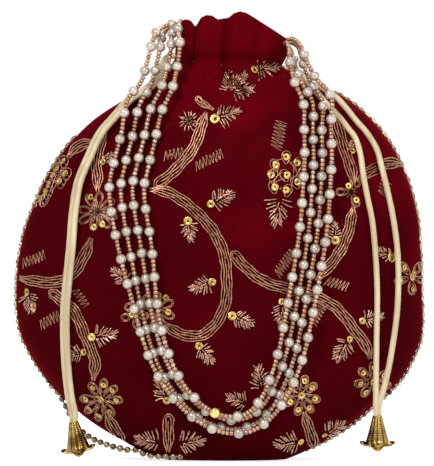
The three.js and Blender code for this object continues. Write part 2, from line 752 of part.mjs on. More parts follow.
// Bead edging along the side seam, with the stretch at the lower left that has come loose
const EDGING_FROM = 0.66;
const EDGING_TO = 0.82;
const LOOSE_FROM = 1.2;
const LOOSE_MIDDLE = 1.28;
const LOOSE_TO = 1.4;

function edgingCurve() {
  const seam = [];
  for (let n = 0; n <= 12; n += 1) {
    const [x, z] = edgeOf(LEFT, EDGING_FROM * (1 - n / 12), 0);
    seam.push([x, z, 0]);
  }
  for (let n = 1; n < 48; n += 1) {
    const share = 1 + n / 48;
    const { x, z } = bottomPoint(-1, 1, Math.PI * share, 0, 0);
    const loose = ease(LOOSE_FROM, LOOSE_MIDDLE, share) * (1 - ease(LOOSE_MIDDLE, LOOSE_TO, share));
    seam.push([x, z, EDGE_SLACK * loose]);
  }
  for (let n = 0; n <= 14; n += 1) {
    const [x, z] = edgeOf(RIGHT, (EDGING_TO * n) / 14, 0);
    seam.push([x, z, 0]);
  }
  const reach = EDGE_BEAD / 2 + CLEARANCE;
  const points = seam.map(([x, z, slack], n) => {
    const before = seam[Math.max(0, n - 1)];
    const after = seam[Math.min(seam.length - 1, n + 1)];
    const along = new THREE.Vector2(after[0] - before[0], after[1] - before[1]).normalize();
    const away = reach + slack;
    const low = EDGE_BEAD / 2 + CLEARANCE;
    return new THREE.Vector3(x + away * along.y, 0, Math.max(low, z - away * along.x));
  });
  return new THREE.CatmullRomCurve3(points);
}

const edging = edgingCurve();
const edgeBeads = Math.floor(edging.getLength() / EDGE_PITCH);
const edgeStations = [];
for (let n = 0; n < edgeBeads; n += 1) {
  edgeStations.push([n * EDGE_PITCH, THREAD / 2], [(n + 0.5) * EDGE_PITCH, EDGE_BEAD / 2]);
}
edgeStations.push([edgeBeads * EDGE_PITCH, THREAD / 2]);
add("bead_edging", chain(edging, edgeStations, 4), EDGE_PEARLY);

// Embroidery: flat wire figures that follow the front, with x in parts of the belly width
// and z in parts of the height of the belly
const WIDTH_PARTS = 97.5;
const HEIGHT_PARTS = 40;
const SEAM_SHARE = 0.3;
const place = ([x, z]) => new THREE.Vector2((x * BELLY_WIDTH) / WIDTH_PARTS, (z * BELLY_HEIGHT) / HEIGHT_PARTS);

const lifted = (x, z, height) => layAt(x, z, CLEARANCE + height);

// Embroidery is raised just enough to stay clear of the folds under it
function seated(make) {
  for (let raise = 0; ; raise += 0.15) {
    const geometry = make(raise);
    if (toSolid(geometry).intersect(frontSolid).volume() < 0.001) {
      return geometry;
    }
  }
}

// The middle of a figure keeps a share of its size clear of the seam, however far the pattern spreads
function figureMiddle(at, size) {
  const middle = place(at);
  const outward = middle.clone().sub(new THREE.Vector2(0, BELLY_HEIGHT)).setLength(size * SEAM_SHARE);
  let share = 1;
  while (!hitFront(middle.x * share + outward.x, mix(BELLY_HEIGHT, middle.y, share) + outward.y)) {
    share -= 0.01;
  }
  return new THREE.Vector2(middle.x * share, mix(BELLY_HEIGHT, middle.y, share));
}

// A filled outline around its middle, as thick as the wire stands off the velvet
function figure(middle, outline, raise) {
  const points = [];
  for (const height of [0, WIRE_HEIGHT]) {
    points.push(lifted(middle.x, middle.y, raise + height));
    points.push(...outline.map((p) => lifted(p.x, p.y, raise + height)));
  }
  const count = outline.length;
  const shift = count + 1;
  const faces = [];
  for (let n = 0; n < count; n += 1) {
    const a = 1 + n;
    const b = 1 + ((n + 1) % count);
    faces.push([0, a, b], [shift, shift + b, shift + a]);
    faces.push([b, a, a + shift], [b, a + shift, b + shift]);
  }
  return body(points, faces);
}

function vine(route, raise) {
  const curve = new THREE.SplineCurve(route.map(place));
  const steps = Math.max(3, Math.round(curve.getLength() / (VINE_WIDTH * 1.7)));
  const points = [];
  for (let n = 0; n <= steps; n += 1) {
    const at = curve.getPointAt(n / steps);
    const along = curve.getTangentAt(n / steps);
    const half = (VINE_WIDTH / 2) * (n === 0 || n === steps ? 0.6 : 1);
    for (const [side, height] of [[-1, 0], [1, 0], [1, WIRE_HEIGHT], [-1, WIRE_HEIGHT]]) {
      points.push(lifted(at.x - side * half * along.y, at.y + side * half * along.x, raise + height));
    }
  }
  const faces = [[0, 1, 2], [0, 2, 3]];
  for (let n = 0; n < steps; n += 1) {
    for (let k = 0; k < 4; k += 1) {
      const a = 4 * n + k;
      const b = 4 * n + ((k + 1) % 4);
      faces.push([b, a, a + 4], [b, a + 4, b + 4]);
    }
  }
  faces.push([4 * steps, 4 * steps + 2, 4 * steps + 1], [4 * steps, 4 * steps + 3, 4 * steps + 2]);
  return body(points, faces);
}

function flower(at, size, petals, raise) {
  const middle = figureMiddle(at, size);
  const outline = [];
  for (let n = 0; n < 2 * petals; n += 1) {
    const turn = (Math.PI * n) / petals;
    const r = (size / 2) * (n % 2 ? 0.6 : 1);
    outline.push(new THREE.Vector2(middle.x + r * Math.cos(turn), middle.y + r * Math.sin(turn)));
  }
  return figure(middle, outline, raise);
}

function spray(at, heading, size, raise) {
  const middle = figureMiddle(at, size);
  const blades = [[-2.4, 0.2], [-0.7, 0.85], [-0.35, 0.5], [0, 1], [0.35, 0.5], [0.7, 0.85], [2.4, 0.2]];
  const outline = blades.map(([turn, reach]) => {
    const way = (heading * Math.PI) / 180 + turn;
    return new THREE.Vector2(middle.x + size * reach * Math.cos(way), middle.y + size * reach * Math.sin(way));
  });
  return figure(middle, outline, raise);
}

const VINES = [
  [[-3.7, 82.1], [-6.1, 76], [-9, 72.1], [-12.2, 68.9], [-15.4, 67]],
  [
    [-16.3, 64.4], [-12.9, 64.6], [-9.5, 63.3], [-6.1, 60.6], [-2.7, 57.2], [-0.2, 53.5], [1.5, 48.6], [1.8, 44],
    [1.7, 38.6], [0.7, 35.4], [-1.2, 32.3], [-4.1, 30.1], [-7.3, 29.8], [-9.4, 30.6],
  ],
  [
    [5, 48], [6.4, 46.6], [8.5, 44.7], [12, 42.8], [16.1, 41.6], [19.8, 40.6], [22.9, 39.6], [25.9, 38.4],
    [28.8, 36.4], [31.7, 33], [33.9, 30.1], [35.9, 27.6], [37.1, 24.7],
  ],
  [[28, 82.1], [29.9, 77.5], [31.2, 73.3], [32.2, 69.4]],
  [[32.4, 58.6], [31.7, 55.5], [30.2, 51.6], [28.2, 48.4], [25.9, 45.7], [24.8, 44.2]],
  [[43.2, 71.4], [41.2, 71.9], [38.8, 70.9], [36.6, 69.2]],
  [[-27.6, 79.2], [-28.8, 76], [-29.6, 72.6], [-29.6, 68.9], [-29.6, 65.6]],
  [[-30.7, 54.4], [-32.2, 50.1], [-33.9, 46.9], [-35.5, 45.4]],
  [[-47, 44.5], [-42.9, 43.5], [-39, 43.3]],
  [
    [-41.2, 40.1], [-39.3, 38.6], [-36.1, 36.9], [-33.7, 32.8], [-32.2, 29.1], [-30.5, 24.9], [-30, 22.5],
    [-29.6, 20],
  ],
  [[-27.1, 8.8], [-25.9, 7.2], [-24.4, 5.6]],
  [[-12.2, 10.4], [-12.2, 7.8], [-12.2, 3.4]],
  [[21, 9.6], [22, 6.8], [22.9, 3.6]],
];
const FLOWERS = [
  [-39.4, 69.2], [-29.6, 60.1], [-28.5, 14.4], [-14.4, 35.9], [16.1, 69.2], [32.2, 64], [20, 15.4], [36.8, 18.1],
];
const SPRAYS = [
  [3.2, 90.4, 90], [9, 94.4, 20], [-4.9, 87, 160], [-1, 82.6, 10], [-2, 62.1, 25], [-7.6, 57.4, -100], [-1.7, 43, 180],
  [-24.6, 44.5, 90], [3.2, 34.2, -40], [-4.9, 26.6, -60], [-12.7, 13.7, 140], [-17.3, 5.4, 170], [-5.6, 4.2, 10],
  [9.8, 19.1, 90], [14.4, 60.4, -100], [26.6, 55, 95], [42, 48.9, 135], [15.4, 37.6, -90],
  [35.9, 33.7, 0], [30.7, 28.4, -110], [18.4, 4.4, 180], [26.3, 6.1, 40], [-29.5, 29.6, 0],
];

VINES.forEach((route, n) => {
  add(`vine_${n + 1}`, seated((raise) => vine(route, raise)), WIRE);
});
FLOWERS.forEach((at, n) => {
  add(`flower_${n + 1}`, seated((raise) => flower(at, FLOWER, 6, raise)), WIRE);
});
SPRAYS.forEach(([x, z, heading], n) => {
  add(`spray_${n + 1}`, seated((raise) => spray([x, z], heading, SPRAY, raise)), WIRE);
});

export default group;
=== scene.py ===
# Velvet potli bag: the pouch, its wire embroidery, bead strands, drawstrings and bells, and the studio.
import math
import random

import bpy
import numpy as np
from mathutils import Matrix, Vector, noise
from mathutils.bvhtree import BVHTree


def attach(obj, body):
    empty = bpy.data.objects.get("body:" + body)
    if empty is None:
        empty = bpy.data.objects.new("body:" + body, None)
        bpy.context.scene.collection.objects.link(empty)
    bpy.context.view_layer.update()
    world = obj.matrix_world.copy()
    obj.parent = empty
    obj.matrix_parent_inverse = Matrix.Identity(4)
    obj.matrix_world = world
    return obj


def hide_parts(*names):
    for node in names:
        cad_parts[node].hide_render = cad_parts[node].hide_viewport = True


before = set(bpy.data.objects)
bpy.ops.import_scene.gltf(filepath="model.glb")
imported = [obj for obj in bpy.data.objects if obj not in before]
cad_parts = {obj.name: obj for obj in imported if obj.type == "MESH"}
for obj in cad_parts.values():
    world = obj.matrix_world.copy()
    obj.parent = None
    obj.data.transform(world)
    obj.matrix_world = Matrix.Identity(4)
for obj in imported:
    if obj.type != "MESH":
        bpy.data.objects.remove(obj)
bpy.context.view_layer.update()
bpy.ops.object.select_all(action="DESELECT")
chance = random.Random(11)

MM = 0.001
DOT = 0.55

# Sizes of the bag in millimetres, as in its solids, apart from where the first pearls sit
BELLY_WIDTH = 220
BELLY_DEPTH = 94
BELLY_HEIGHT = 90
LEFT_DROP = 90
RIGHT_DROP = 96
BOTTOM_FULLNESS = 6
PRESS_DEPTH = 5.5
PRESS_REACH = 30
FLAT_BAND = 1.8
SEAM_LIFT = 4.2
CLOTH = 1.5
SEAM_GAP = 0.3
CLEARANCE = 0.35
NECK_DEPTH = 46
WAIST_DEPTH = 36
FRILL_DEPTH = 40
NECK_CURVE = 0.75
LEFT = dict(sign=-1, neck_x=38, neck_z=203.5, waist_x=24.5, waist_z=219, tip_x=23.7, tip_z=227.4, power=2)
RIGHT = dict(sign=1, neck_x=41.2, neck_z=211.5, waist_x=34.6, waist_z=216, tip_x=39, tip_z=223.8, power=2.4)
FRILL_CREST = 17.2
FRILL_WAVE = 1.4
GATHERS = 4
NECK_GATHER = 2.2
WAIST_GATHER = 0.8
FRILL_GATHER = 3
CORD = 3.2
CHANNEL = 6.4
CASING = 0.8
CORD_RISE = 1.85
BELL_HEIGHT = 19
BELL_PETALS = 6
THROAT = 5.4
KNOT = 6.2
LEFT_BELL_LEAN = 0.18
PEARL = 5.7
PEARL_PITCH = 13.7
SEED = 2.9
STRAND_SPACING = 6.15
END_SPACING = SEED + 2.5 * CLEARANCE
FIRST_PEARLS = (25.9, 37, 30.8, 31.3)
LAST_PEARL = 27
GOLD_BEAD = 6.3
EDGE_BEAD = 2.8
EDGE_PITCH = 4.7
EDGE_SLACK = 7
WIRE_TOP = CLEARANCE + 0.9
COLUMNS = 4 * GATHERS
RAYS = 12
ROWS = [0, 0.2, 0.4, 0.58, 0.74, 0.88, 1, 1.45, 2, 2.5, 2.8, 3]
HALF_WIDTH = BELLY_WIDTH / 2
STEEPEST = 0.45


def mix(a, b, t):
    return a + (b - a) * t


def ease(start, end, t):
    s = min(1, max(0, (t - start) / (end - start)))
    return s * s * (3 - 2 * s)


# Camera, at the height of the middle of the picture
SENSOR = 36
CAMERA_AWAY = 3500
CAMERA_RISE = math.radians(1.0)
AIM = Vector((-1.1, 0, 123.75))
PICTURE = (434, 466)
FORWARD = Vector((0, math.cos(CAMERA_RISE), -math.sin(CAMERA_RISE)))
UPWARD = Vector((0, math.sin(CAMERA_RISE), math.cos(CAMERA_RISE)))
EYE = AIM - FORWARD * CAMERA_AWAY


def set_camera():
    bpy.ops.object.camera_add(location=EYE * MM, rotation=(math.pi / 2 - CAMERA_RISE, 0, 0))
    camera = bpy.context.object
    camera.data.sensor_width = SENSOR
    camera.data.lens = SENSOR * CAMERA_AWAY / (PICTURE[1] * DOT)
    camera.data.clip_end = 20
    bpy.context.scene.camera = camera


def sight(px, py):
    across = Vector((1, 0, 0)) * (px - PICTURE[0] / 2) * DOT
    return (FORWARD * CAMERA_AWAY + across + UPWARD * (PICTURE[1] / 2 - py) * DOT).normalized()


# A measure above the neck, from what it is at the neck, the waist and the frill's edge
def over_neck(v, neck, waist, frill):
    return mix(neck, waist, v - 1) if v <= 2 else mix(waist, frill, v - 2)


# How square the pouch's cross sections are, at the belly and at the neck
BELLY_POWER = 2.3
NECK_POWER = 2
BELLY_ROUND = 0.6
NECK_ROUND = 0.5
SEAM_FLATTENS = 6


# Pouch surface: v is 0 at the widest row, 1 at the neck, 2 at the waist and 3 at the frill's edge
def edge_of(side, v, inset):
    if v <= 1:
        reach = HALF_WIDTH - inset
        end = math.acos(((side["neck_x"] - inset) / reach) ** (side["power"] / 2))
        rise = (side["neck_z"] - BELLY_HEIGHT) / math.sin(end) ** (2 / side["power"])
        turn = end * v
        x = reach * math.cos(turn) ** (2 / side["power"])
        return side["sign"] * x, BELLY_HEIGHT + rise * math.sin(turn) ** (2 / side["power"])
    if v <= 2:
        x = mix(side["neck_x"], side["waist_x"], (v - 1) ** NECK_CURVE)
    else:
        x = mix(side["waist_x"], side["tip_x"], v - 2)
    return side["sign"] * (x - inset), over_neck(v, side["neck_z"], side["waist_z"], side["tip_z"])


def depth_at(v):
    if v <= 1:
        return mix(NECK_DEPTH, BELLY_DEPTH, math.cos(v * math.pi / 2) ** 0.9) / 2
    return over_neck(v, NECK_DEPTH, WAIST_DEPTH, FRILL_DEPTH) / 2


def gather_at(v):
    if v <= 1:
        return NECK_GATHER * ease(0.4, 1, v)
    return over_neck(v, NECK_GATHER, WAIST_GATHER, FRILL_GATHER)


def across_at(s):
    return math.copysign(1 - (1 - abs(s)) ** 2, s)


def plain_fold(facing, s, v):
    return gather_at(v) * math.cos(math.pi * GATHERS * (s + 1))


def plain_crest(facing, u, s, v):
    fold = math.cos(math.pi * GATHERS * (s + 1))
    return max(0, v - 2) * (FRILL_CREST * (1 - u**SEAM_FLATTENS) - FRILL_WAVE * fold)


def panel_point(facing, s, v, inset, gap, fold=plain_fold, crest=plain_crest):
    u = across_at(s)
    left_x, left_z = edge_of(LEFT, v, inset)
    right_x, right_z = edge_of(RIGHT, v, inset)
    upper = ease(0.5, 1, v)
    power = mix(BELLY_POWER, NECK_POWER, upper)
    swell = (depth_at(v) - inset) * max(0, 1 - abs(u) ** power) ** mix(BELLY_ROUND, NECK_ROUND, upper)
    depth = swell + fold(facing, s, v) * (1 - u**SEAM_FLATTENS)
    x = mix(left_x, right_x, (u + 1) / 2)
    z = mix(left_z, right_z, (u + 1) / 2) + crest(facing, u, s, v)
    return Vector((x, facing * (depth + gap), z))


def bottom_point(facing, share, angle, inset, gap, smooth=False):
    low = -math.sin(angle)
    drop = mix(LEFT_DROP, RIGHT_DROP, (1 + math.cos(angle)) / 2) - inset
    full = max(0, low) ** 1.5
    power = mix(BELLY_POWER, BOTTOM_FULLNESS, full)
    depth = (BELLY_DEPTH / 2 - inset) * max(0, 1 - share**power) ** mix(BELLY_ROUND, NECK_ROUND, full)
    raw = BELLY_HEIGHT - drop * share * low
    press = PRESS_DEPTH * (1 - ease(0, PRESS_REACH, raw - inset))
    if smooth:
        z = raw - press * (1 - ease(0.955, 1, share))
        z = max(z, inset + SEAM_LIFT * ease(0.98, 1, share))
    else:
        seam = share > 0.999
        z = raw if seam else raw - press
        rest = SEAM_LIFT + inset if seam else inset
        z = rest if z - rest < (0 if seam else FLAT_BAND) else z
    return Vector(((HALF_WIDTH - inset) * share * math.cos(angle), facing * (depth + gap), z))


# Faces of a panel: rows of columns above the widest row, rays below it; and the points round its rim
def sheet_grid(columns, rows, rays):
    half = columns // 2

    def at(row, column):
        return row * (columns + 1) + column

    def on_ray(ray, step):
        if ray == 0 or step == 0:
            return at(0, half - step)
        if ray == rays:
            return at(0, half + step)
        return len(rows) * (columns + 1) + (ray - 1) * half + step - 1

    faces = []
    for row in range(len(rows) - 1):
        for column in range(columns):
            faces.append((at(row, column), at(row, column + 1), at(row + 1, column + 1), at(row + 1, column)))
    for ray in range(rays):
        beside = ray + 1
        faces.append((on_ray(ray, 0), on_ray(ray, 1), on_ray(beside, 1)))
        for step in range(1, half):
            out = step + 1
            faces.append((on_ray(ray, step), on_ray(ray, out), on_ray(beside, out), on_ray(beside, step)))
    rim = [at(row, 0) for row in range(len(rows) - 1, -1, -1)]
    rim += [on_ray(ray, half) for ray in range(1, rays)]
    rim += [at(row, columns) for row in range(len(rows))]
    rim += [at(len(rows) - 1, column) for column in range(columns - 1, 0, -1)]
    return faces, rim


def sheet_points(facing, inset, gap, columns, rows, rays, **ways):
    half = columns // 2
    smooth = bool(ways)
    points = []
    for v in rows:
        for column in range(columns + 1):
            points.append(panel_point(facing, column / half - 1, v, inset, gap, **ways))
    for ray in range(1, rays):
        angle = math.pi * (1 + ray / rays)
        for step in range(1, half + 1):
            points.append(bottom_point(facing, across_at(step / half), angle, inset, gap, smooth))
    return points


# The plain front that cords and strands were laid on
class PlainFront:
    def __init__(self):
        self.points = sheet_points(-1, 0, SEAM_GAP / 2, COLUMNS, ROWS, RAYS)
        quads, _ = sheet_grid(COLUMNS, ROWS, RAYS)
        self.faces = []
        for first, *others in quads:
            self.faces += [(first, b, c) for b, c in zip(others, others[1:])]
        self.normals = [Vector((0, 0, 0)) for _ in self.points]
        for a, b, c in self.faces:
            turn = (self.points[b] - self.points[a]).cross(self.points[c] - self.points[a])
            for corner in (a, b, c):
                self.normals[corner] += turn
        self.tree = BVHTree.FromPolygons(self.points, self.faces)

    def lay(self, x, z, lift):
        point, normal = self.find(x, z)
        return point + normal * lift

    # Straight before a place on the front, clear of the velvet
    def before(self, x, z, lift):
        point, normal = self.find(x, z)
        return Vector((x, point.y - lift / max(STEEPEST, -normal.y), z))

    def find(self, x, z):
        share = 1
        while True:
            start = Vector((x * share, -2 * BELLY_DEPTH, mix(BELLY_HEIGHT, z, share)))
            point, _, index, _ = self.tree.ray_cast(start, Vector((0, 1, 0)))
            if point is not None:
                break
            share -= 0.01
        a, b, c = (self.points[corner] for corner in self.faces[index])
        whole = (b - a).cross(c - a)
        area = whole.length_squared
        wa = (c - b).cross(point - b).dot(whole) / area
        wb = (a - c).cross(point - c).dot(whole) / area
        na, nb, nc = (self.normals[corner].normalized() for corner in self.faces[index])
        normal = (na * wa + nb * wb + nc * (1 - wa - wb)).normalized()
        return point, -normal if normal.y > 0 else normal


plain_front = PlainFront()


# A smooth line through points, with places along it by distance
class Line:
    def __init__(self, points, fine=24):
        count = len(points)
        ends = [2 * points[0] - points[1], *points, 2 * points[-1] - points[-2]]
        samples = []
        for n in range(count - 1):
            samples += self.stretch(*ends[n : n + 4], fine)
        samples.append(points[-1])
        self.points = np.array([tuple(p) for p in samples])
        steps = np.linalg.norm(np.diff(self.points, axis=0), axis=1)
        self.places = np.concatenate([[0], np.cumsum(steps)])
        self.length = self.places[-1]

    @staticmethod
    def stretch(p0, p1, p2, p3, fine):
        d0, d1, d2 = (max((b - a).length ** 0.5, 1e-4) for a, b in ((p0, p1), (p1, p2), (p2, p3)))
        t1 = ((p1 - p0) / d0 - (p2 - p0) / (d0 + d1) + (p2 - p1) / d1) * d1
        t2 = ((p2 - p1) / d1 - (p3 - p1) / (d1 + d2) + (p3 - p2) / d2) * d1
        square = -3 * p1 + 3 * p2 - 2 * t1 - t2
        cube = 2 * p1 - 2 * p2 + t1 + t2
        return [p1 + t1 * t + square * t**2 + cube * t**3 for t in (k / fine for k in range(fine))]

    def at(self, place):
        return np.stack([np.interp(place, self.places, self.points[:, k]) for k in range(3)], axis=-1)

    def along(self, place):
        near = self.at(np.asarray(place) + 0.3) - self.at(np.asarray(place) - 0.3)
        return near / np.maximum(np.linalg.norm(near, axis=-1, keepdims=True), 1e-9)

    def every(self, step):
        return self.at(np.linspace(0, self.length, max(3, int(round(self.length / step)) + 1)))


# Meshes gathered from many small shapes
class Shape:
    def __init__(self):
        self.points = []
        self.faces = []
        self.looks = []

    def add(self, points, faces, look=0):
        shift = len(self.points)
        self.points.extend(tuple(p) for p in points)
        self.faces.extend(tuple(shift + corner for corner in face) for face in faces)
        self.looks.extend([look] * len(faces))

    def make(self, name, *materials):
        mesh = bpy.data.meshes.new(name)
        mesh.from_pydata([(x * MM, y * MM, z * MM) for x, y, z in self.points], [], self.faces)
        for material in materials:
            mesh.materials.append(material)
        mesh.polygons.foreach_set("material_index", self.looks)
        mesh.polygons.foreach_set("use_smooth", [True] * len(mesh.polygons))
        mesh.update()
        piece = bpy.data.objects.new(name, mesh)
        bpy.context.collection.objects.link(piece)
        return piece


# Says that a piece rides with the bag and which solids it stands for; the finish given as slot is not used
def declare(piece, slot, *nodes):
    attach(piece, "root")
    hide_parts(*nodes)
    return piece


# Faces between rings of points, with a cap at both ends, or closed from the last ring to the first
def ring_faces(rings, sides, closed=False):
    faces = []
    for ring in range(rings if closed else rings - 1):
        start = ring * sides
        above = (ring + 1) % rings * sides
        for n in range(sides):
            after = (n + 1) % sides
            faces.append((start + n, start + after, above + after, above + n))
    if not closed:
        faces.append(tuple(reversed(range(sides))))
        faces.append(tuple(range((rings - 1) * sides, rings * sides)))
    return faces


# Faces of a sleeve with two layers of rings, closed at both rims
def sleeve_faces(rings, sides):
    def at(layer, ring, n):
        return (layer * rings + ring) * sides + n % sides

    faces = []
    last = rings - 1
    for n in range(sides):
        after = n + 1
        for ring in range(last):
            above = ring + 1
            faces.append((at(0, ring, n), at(0, ring, after), at(0, above, after), at(0, above, n)))
            faces.append((at(1, ring, n), at(1, above, n), at(1, above, after), at(1, ring, after)))
        faces.append((at(1, 0, n), at(1, 0, after), at(0, 0, after), at(0, 0, n)))
        faces.append((at(0, last, n), at(0, last, after), at(1, last, after), at(1, last, n)))
    return faces


def turned_frames(points):
    along = np.gradient(points, axis=0)
    along /= np.maximum(np.linalg.norm(along, axis=1, keepdims=True), 1e-9)
    side = np.cross(along[0], (0, 1, 0.01))
    side /= max(np.linalg.norm(side), 1e-9)
    sides = []
    for way in along:
        side = side - way * np.dot(side, way)
        side /= max(np.linalg.norm(side), 1e-9)
        sides.append(side)
    sides = np.array(sides)
    return along, sides, np.cross(along, sides)


# A round tube along points, with one radius for each point
def add_tube(shape, points, radii, sides, look=0):
    points = np.asarray(points)
    _, side, other = turned_frames(points)
    radii = np.broadcast_to(np.asarray(radii, dtype=float), len(points))
    turns = np.linspace(0, 2 * math.pi, sides, endpoint=False)[None, :, None]
    spokes = np.cos(turns) * side[:, None, :] + np.sin(turns) * other[:, None, :]
    rings = points[:, None, :] + radii[:, None, None] * spokes
    shape.add(rings.reshape(-1, 3), ring_faces(len(points), sides), look)


# A bead turned about the line it is threaded on, from a profile of distance along and radius
def add_bead(shape, middle, along, profile, sides, look=0, closed=False):
    along = Vector(along).normalized()
    side = along.orthogonal().normalized()
    other = along.cross(side)
    points = []
    for place, radius in profile:
        for n in range(sides):
            turn = 2 * math.pi * n / sides
            spoke = side * math.cos(turn) + other * math.sin(turn)
            points.append(Vector(middle) + along * place + spoke * radius)
    shape.add(points, ring_faces(len(profile), sides, closed), look)


def ball_profile(radius, rings, hole=0.12, long=1.0):
    lowest = math.asin(hole)
    out = []
    for n in range(rings + 1):
        turn = mix(-math.pi / 2 + lowest, math.pi / 2 - lowest, n / rings)
        out.append((long * radius * math.sin(turn), radius * math.cos(turn)))
    return out


# Materials
def set_inputs(node, values):
    for socket, value in values.items():
        node.inputs[socket].default_value = value


def new_material(name, colour, roughness, metallic=0.0):
    material = bpy.data.materials.new(name)
    material.use_nodes = True
    nodes = material.node_tree.nodes
    shader = nodes["Principled BSDF"]
    set_inputs(shader, {"Base Color": (*colour, 1), "Roughness": roughness, "Metallic": metallic})
    return material, nodes, material.node_tree.links, shader


def add_noise(nodes, links, scale, detail=3.0, stretch=(1, 1, 1)):
    place = nodes.new("ShaderNodeTexCoord")
    mapping = nodes.new("ShaderNodeMapping")
    grain = nodes.new("ShaderNodeTexNoise")
    set_inputs(mapping, {"Scale": stretch})
    set_inputs(grain, {"Scale": scale, "Detail": detail})
    links.new(place.outputs["Object"], mapping.inputs["Vector"])
    links.new(mapping.outputs["Vector"], grain.inputs["Vector"])
    return grain.outputs["Fac"]


def add_math(nodes, links, operation, first, second):
    node = nodes.new("ShaderNodeMath")
    node.operation = operation
    links.new(first, node.inputs[0])
    links.new(second, node.inputs[1])
    return node.outputs[0]


# Colours the shader by a value, through stops of place and colour
def add_ramp(nodes, links, shader, source, stops):
    ramp = nodes.new("ShaderNodeValToRGB")
    while len(ramp.color_ramp.elements) < len(stops):
        ramp.color_ramp.elements.new(0.5)
    for element, (place, colour) in zip(ramp.color_ramp.elements, stops):
        element.position = place
        element.color = (*colour, 1)
    links.new(source, ramp.inputs["Fac"])
    links.new(ramp.outputs["Color"], shader.inputs["Base Color"])


def add_bump(nodes, links, shader, height, strength, distance):
    bump = nodes.new("ShaderNodeBump")
    set_inputs(bump, {"Strength": strength, "Distance": distance})
    links.new(height, bump.inputs["Height"])
    links.new(bump.outputs["Normal"], shader.inputs["Normal"])


# Painted light: how much paler the velvet's colour is painted per metre to the right and upwards, where more
# light falls on it, and the tones from dark to pale that this painted light and the nap's random tone run
# through
PAINTED_LIGHT_LEAN = (0.9, 0, 1.9)
NAP_AND_PAINTED_LIGHT_TONES = [
    (0.3, (0.048, 0.0001, 0.0018)), (0.55, (0.064, 0.0001, 0.0025)), (0.8, (0.074, 0.0001, 0.0029)),
    (1, (0.126, 0.0001, 0.0048)),
]
VELVET_SHEEN = {
    "Specular IOR Level": 0.02, "Sheen Weight": 0.7, "Sheen Roughness": 0.34,
    "Sheen Tint": (0.55, 0.001, 0.012, 1),
}
SATIN_TONES = [(0.3, (0.61, 0.465, 0.26)), (0.7, (0.85, 0.71, 0.46))]
SATIN_STRETCH = (1, 1, 0.08)


def velvet_material():
    material, nodes, links, shader = new_material("maroon_velvet", (0.07, 0.0, 0.003), 0.9)
    nap = add_noise(nodes, links, 26, 4.0)
    # Painted light: the lean is added to the nap's random tone, so the velvet is painted paler to the right
    # and upwards
    place = nodes.new("ShaderNodeTexCoord")
    lean = nodes.new("ShaderNodeVectorMath")
    lean.operation = "DOT_PRODUCT"
    lean.inputs[1].default_value = PAINTED_LIGHT_LEAN
    links.new(place.outputs["Object"], lean.inputs[0])
    add_ramp(nodes, links, shader, add_math(nodes, links, "ADD", nap, lean.outputs["Value"]), NAP_AND_PAINTED_LIGHT_TONES)
    set_inputs(shader, VELVET_SHEEN)
    add_bump(nodes, links, shader, add_noise(nodes, links, 1500, 2.0), 0.4, 0.0005)
    return material


def satin_material():
    material, nodes, links, shader = new_material("cream_satin", (0.78, 0.66, 0.42), 0.42)
    thread = add_noise(nodes, links, 260, 3.0, SATIN_STRETCH)
    add_ramp(nodes, links, shader, thread, SATIN_TONES)
    set_inputs(shader, {"Sheen Weight": 0.25, "Sheen Roughness": 0.4})
    add_bump(nodes, links, shader, thread, 0.25, 0.0003)
    return material


def gold_material(name, dark, light, roughness, scale):
    material, nodes, links, shader = new_material(name, light, roughness, 1.0)
    tarnish = add_noise(nodes, links, scale, 3.0)
    add_ramp(nodes, links, shader, tarnish, [(0.32, dark), (0.62, light)])
    rough = nodes.new("ShaderNodeMapRange")
    set_inputs(rough, {"To Min": roughness * 0.8, "To Max": roughness * 1.35})
    links.new(tarnish, rough.inputs["Value"])
    links.new(rough.outputs["Result"], shader.inputs["Roughness"])
    return material


def pearl_material(name, dark, light, scale, roughness, lustre):
    material, nodes, links, shader = new_material(name, light, roughness, lustre)
    add_ramp(nodes, links, shader, add_noise(nodes, links, scale, 2.0), [(0.35, dark), (0.65, light)])
    set_inputs(shader, {"Coat Weight": 0.6, "Coat Roughness": 0.08})
    return material


VELVET = velvet_material()
SATIN = satin_material()
BELL_GOLD = gold_material("polished_gold", (0.13, 0.065, 0.014), (0.44, 0.30, 0.09), 0.15, 150)
BEAD_GOLD = gold_material("bright_gold_bead", (0.50, 0.31, 0.08), (0.82, 0.60, 0.22), 0.12, 120)
WIRE_GOLD = gold_material("copper_gold_wire", (0.17, 0.07, 0.038), (0.49, 0.255, 0.16), 0.3, 520)
WIRE_DARK = gold_material("dark_wire", (0.05, 0.03, 0.02), (0.2, 0.12, 0.07), 0.35, 520)
CHIP_GOLD = gold_material("cut_wire", (0.17, 0.07, 0.045), (0.56, 0.31, 0.22), 0.24, 700)
SEQUIN_GOLD = gold_material("sequin_gold", (0.26, 0.14, 0.032), (0.66, 0.455, 0.155), 0.22, 300)
PEARL_WHITE = pearl_material("pearl_white", (0.46, 0.38, 0.31), (0.62, 0.54, 0.46), 110, 0.26, 0.42)
SEED_COPPER = pearl_material("copper_seed", (0.27, 0.115, 0.05), (0.54, 0.29, 0.135), 420, 0.2, 0.6)
SEED_CLEAR = pearl_material("champagne_seed", (0.34, 0.20, 0.13), (0.60, 0.42, 0.29), 420, 0.2, 0.55)
SEED_ROSE = pearl_material("rose_seed", (0.26, 0.12, 0.085), (0.50, 0.28, 0.20), 420, 0.2, 0.6)
EDGE_PEARL = pearl_material("edge_bead_pale", (0.28, 0.20, 0.10), (0.72, 0.61, 0.40), 300, 0.2, 0.6)
EDGE_DARK = pearl_material("edge_bead_dark", (0.05, 0.03, 0.015), (0.36, 0.24, 0.11), 420, 0.2, 0.8)
# Painted shade and reflection: a darker gold for the bell's grooves and its inside
BELL_PAINTED_SHADE = gold_material("gold_groove_painted_shade", (0.05, 0.022, 0.006), (0.14, 0.08, 0.02), 0.25, 150)


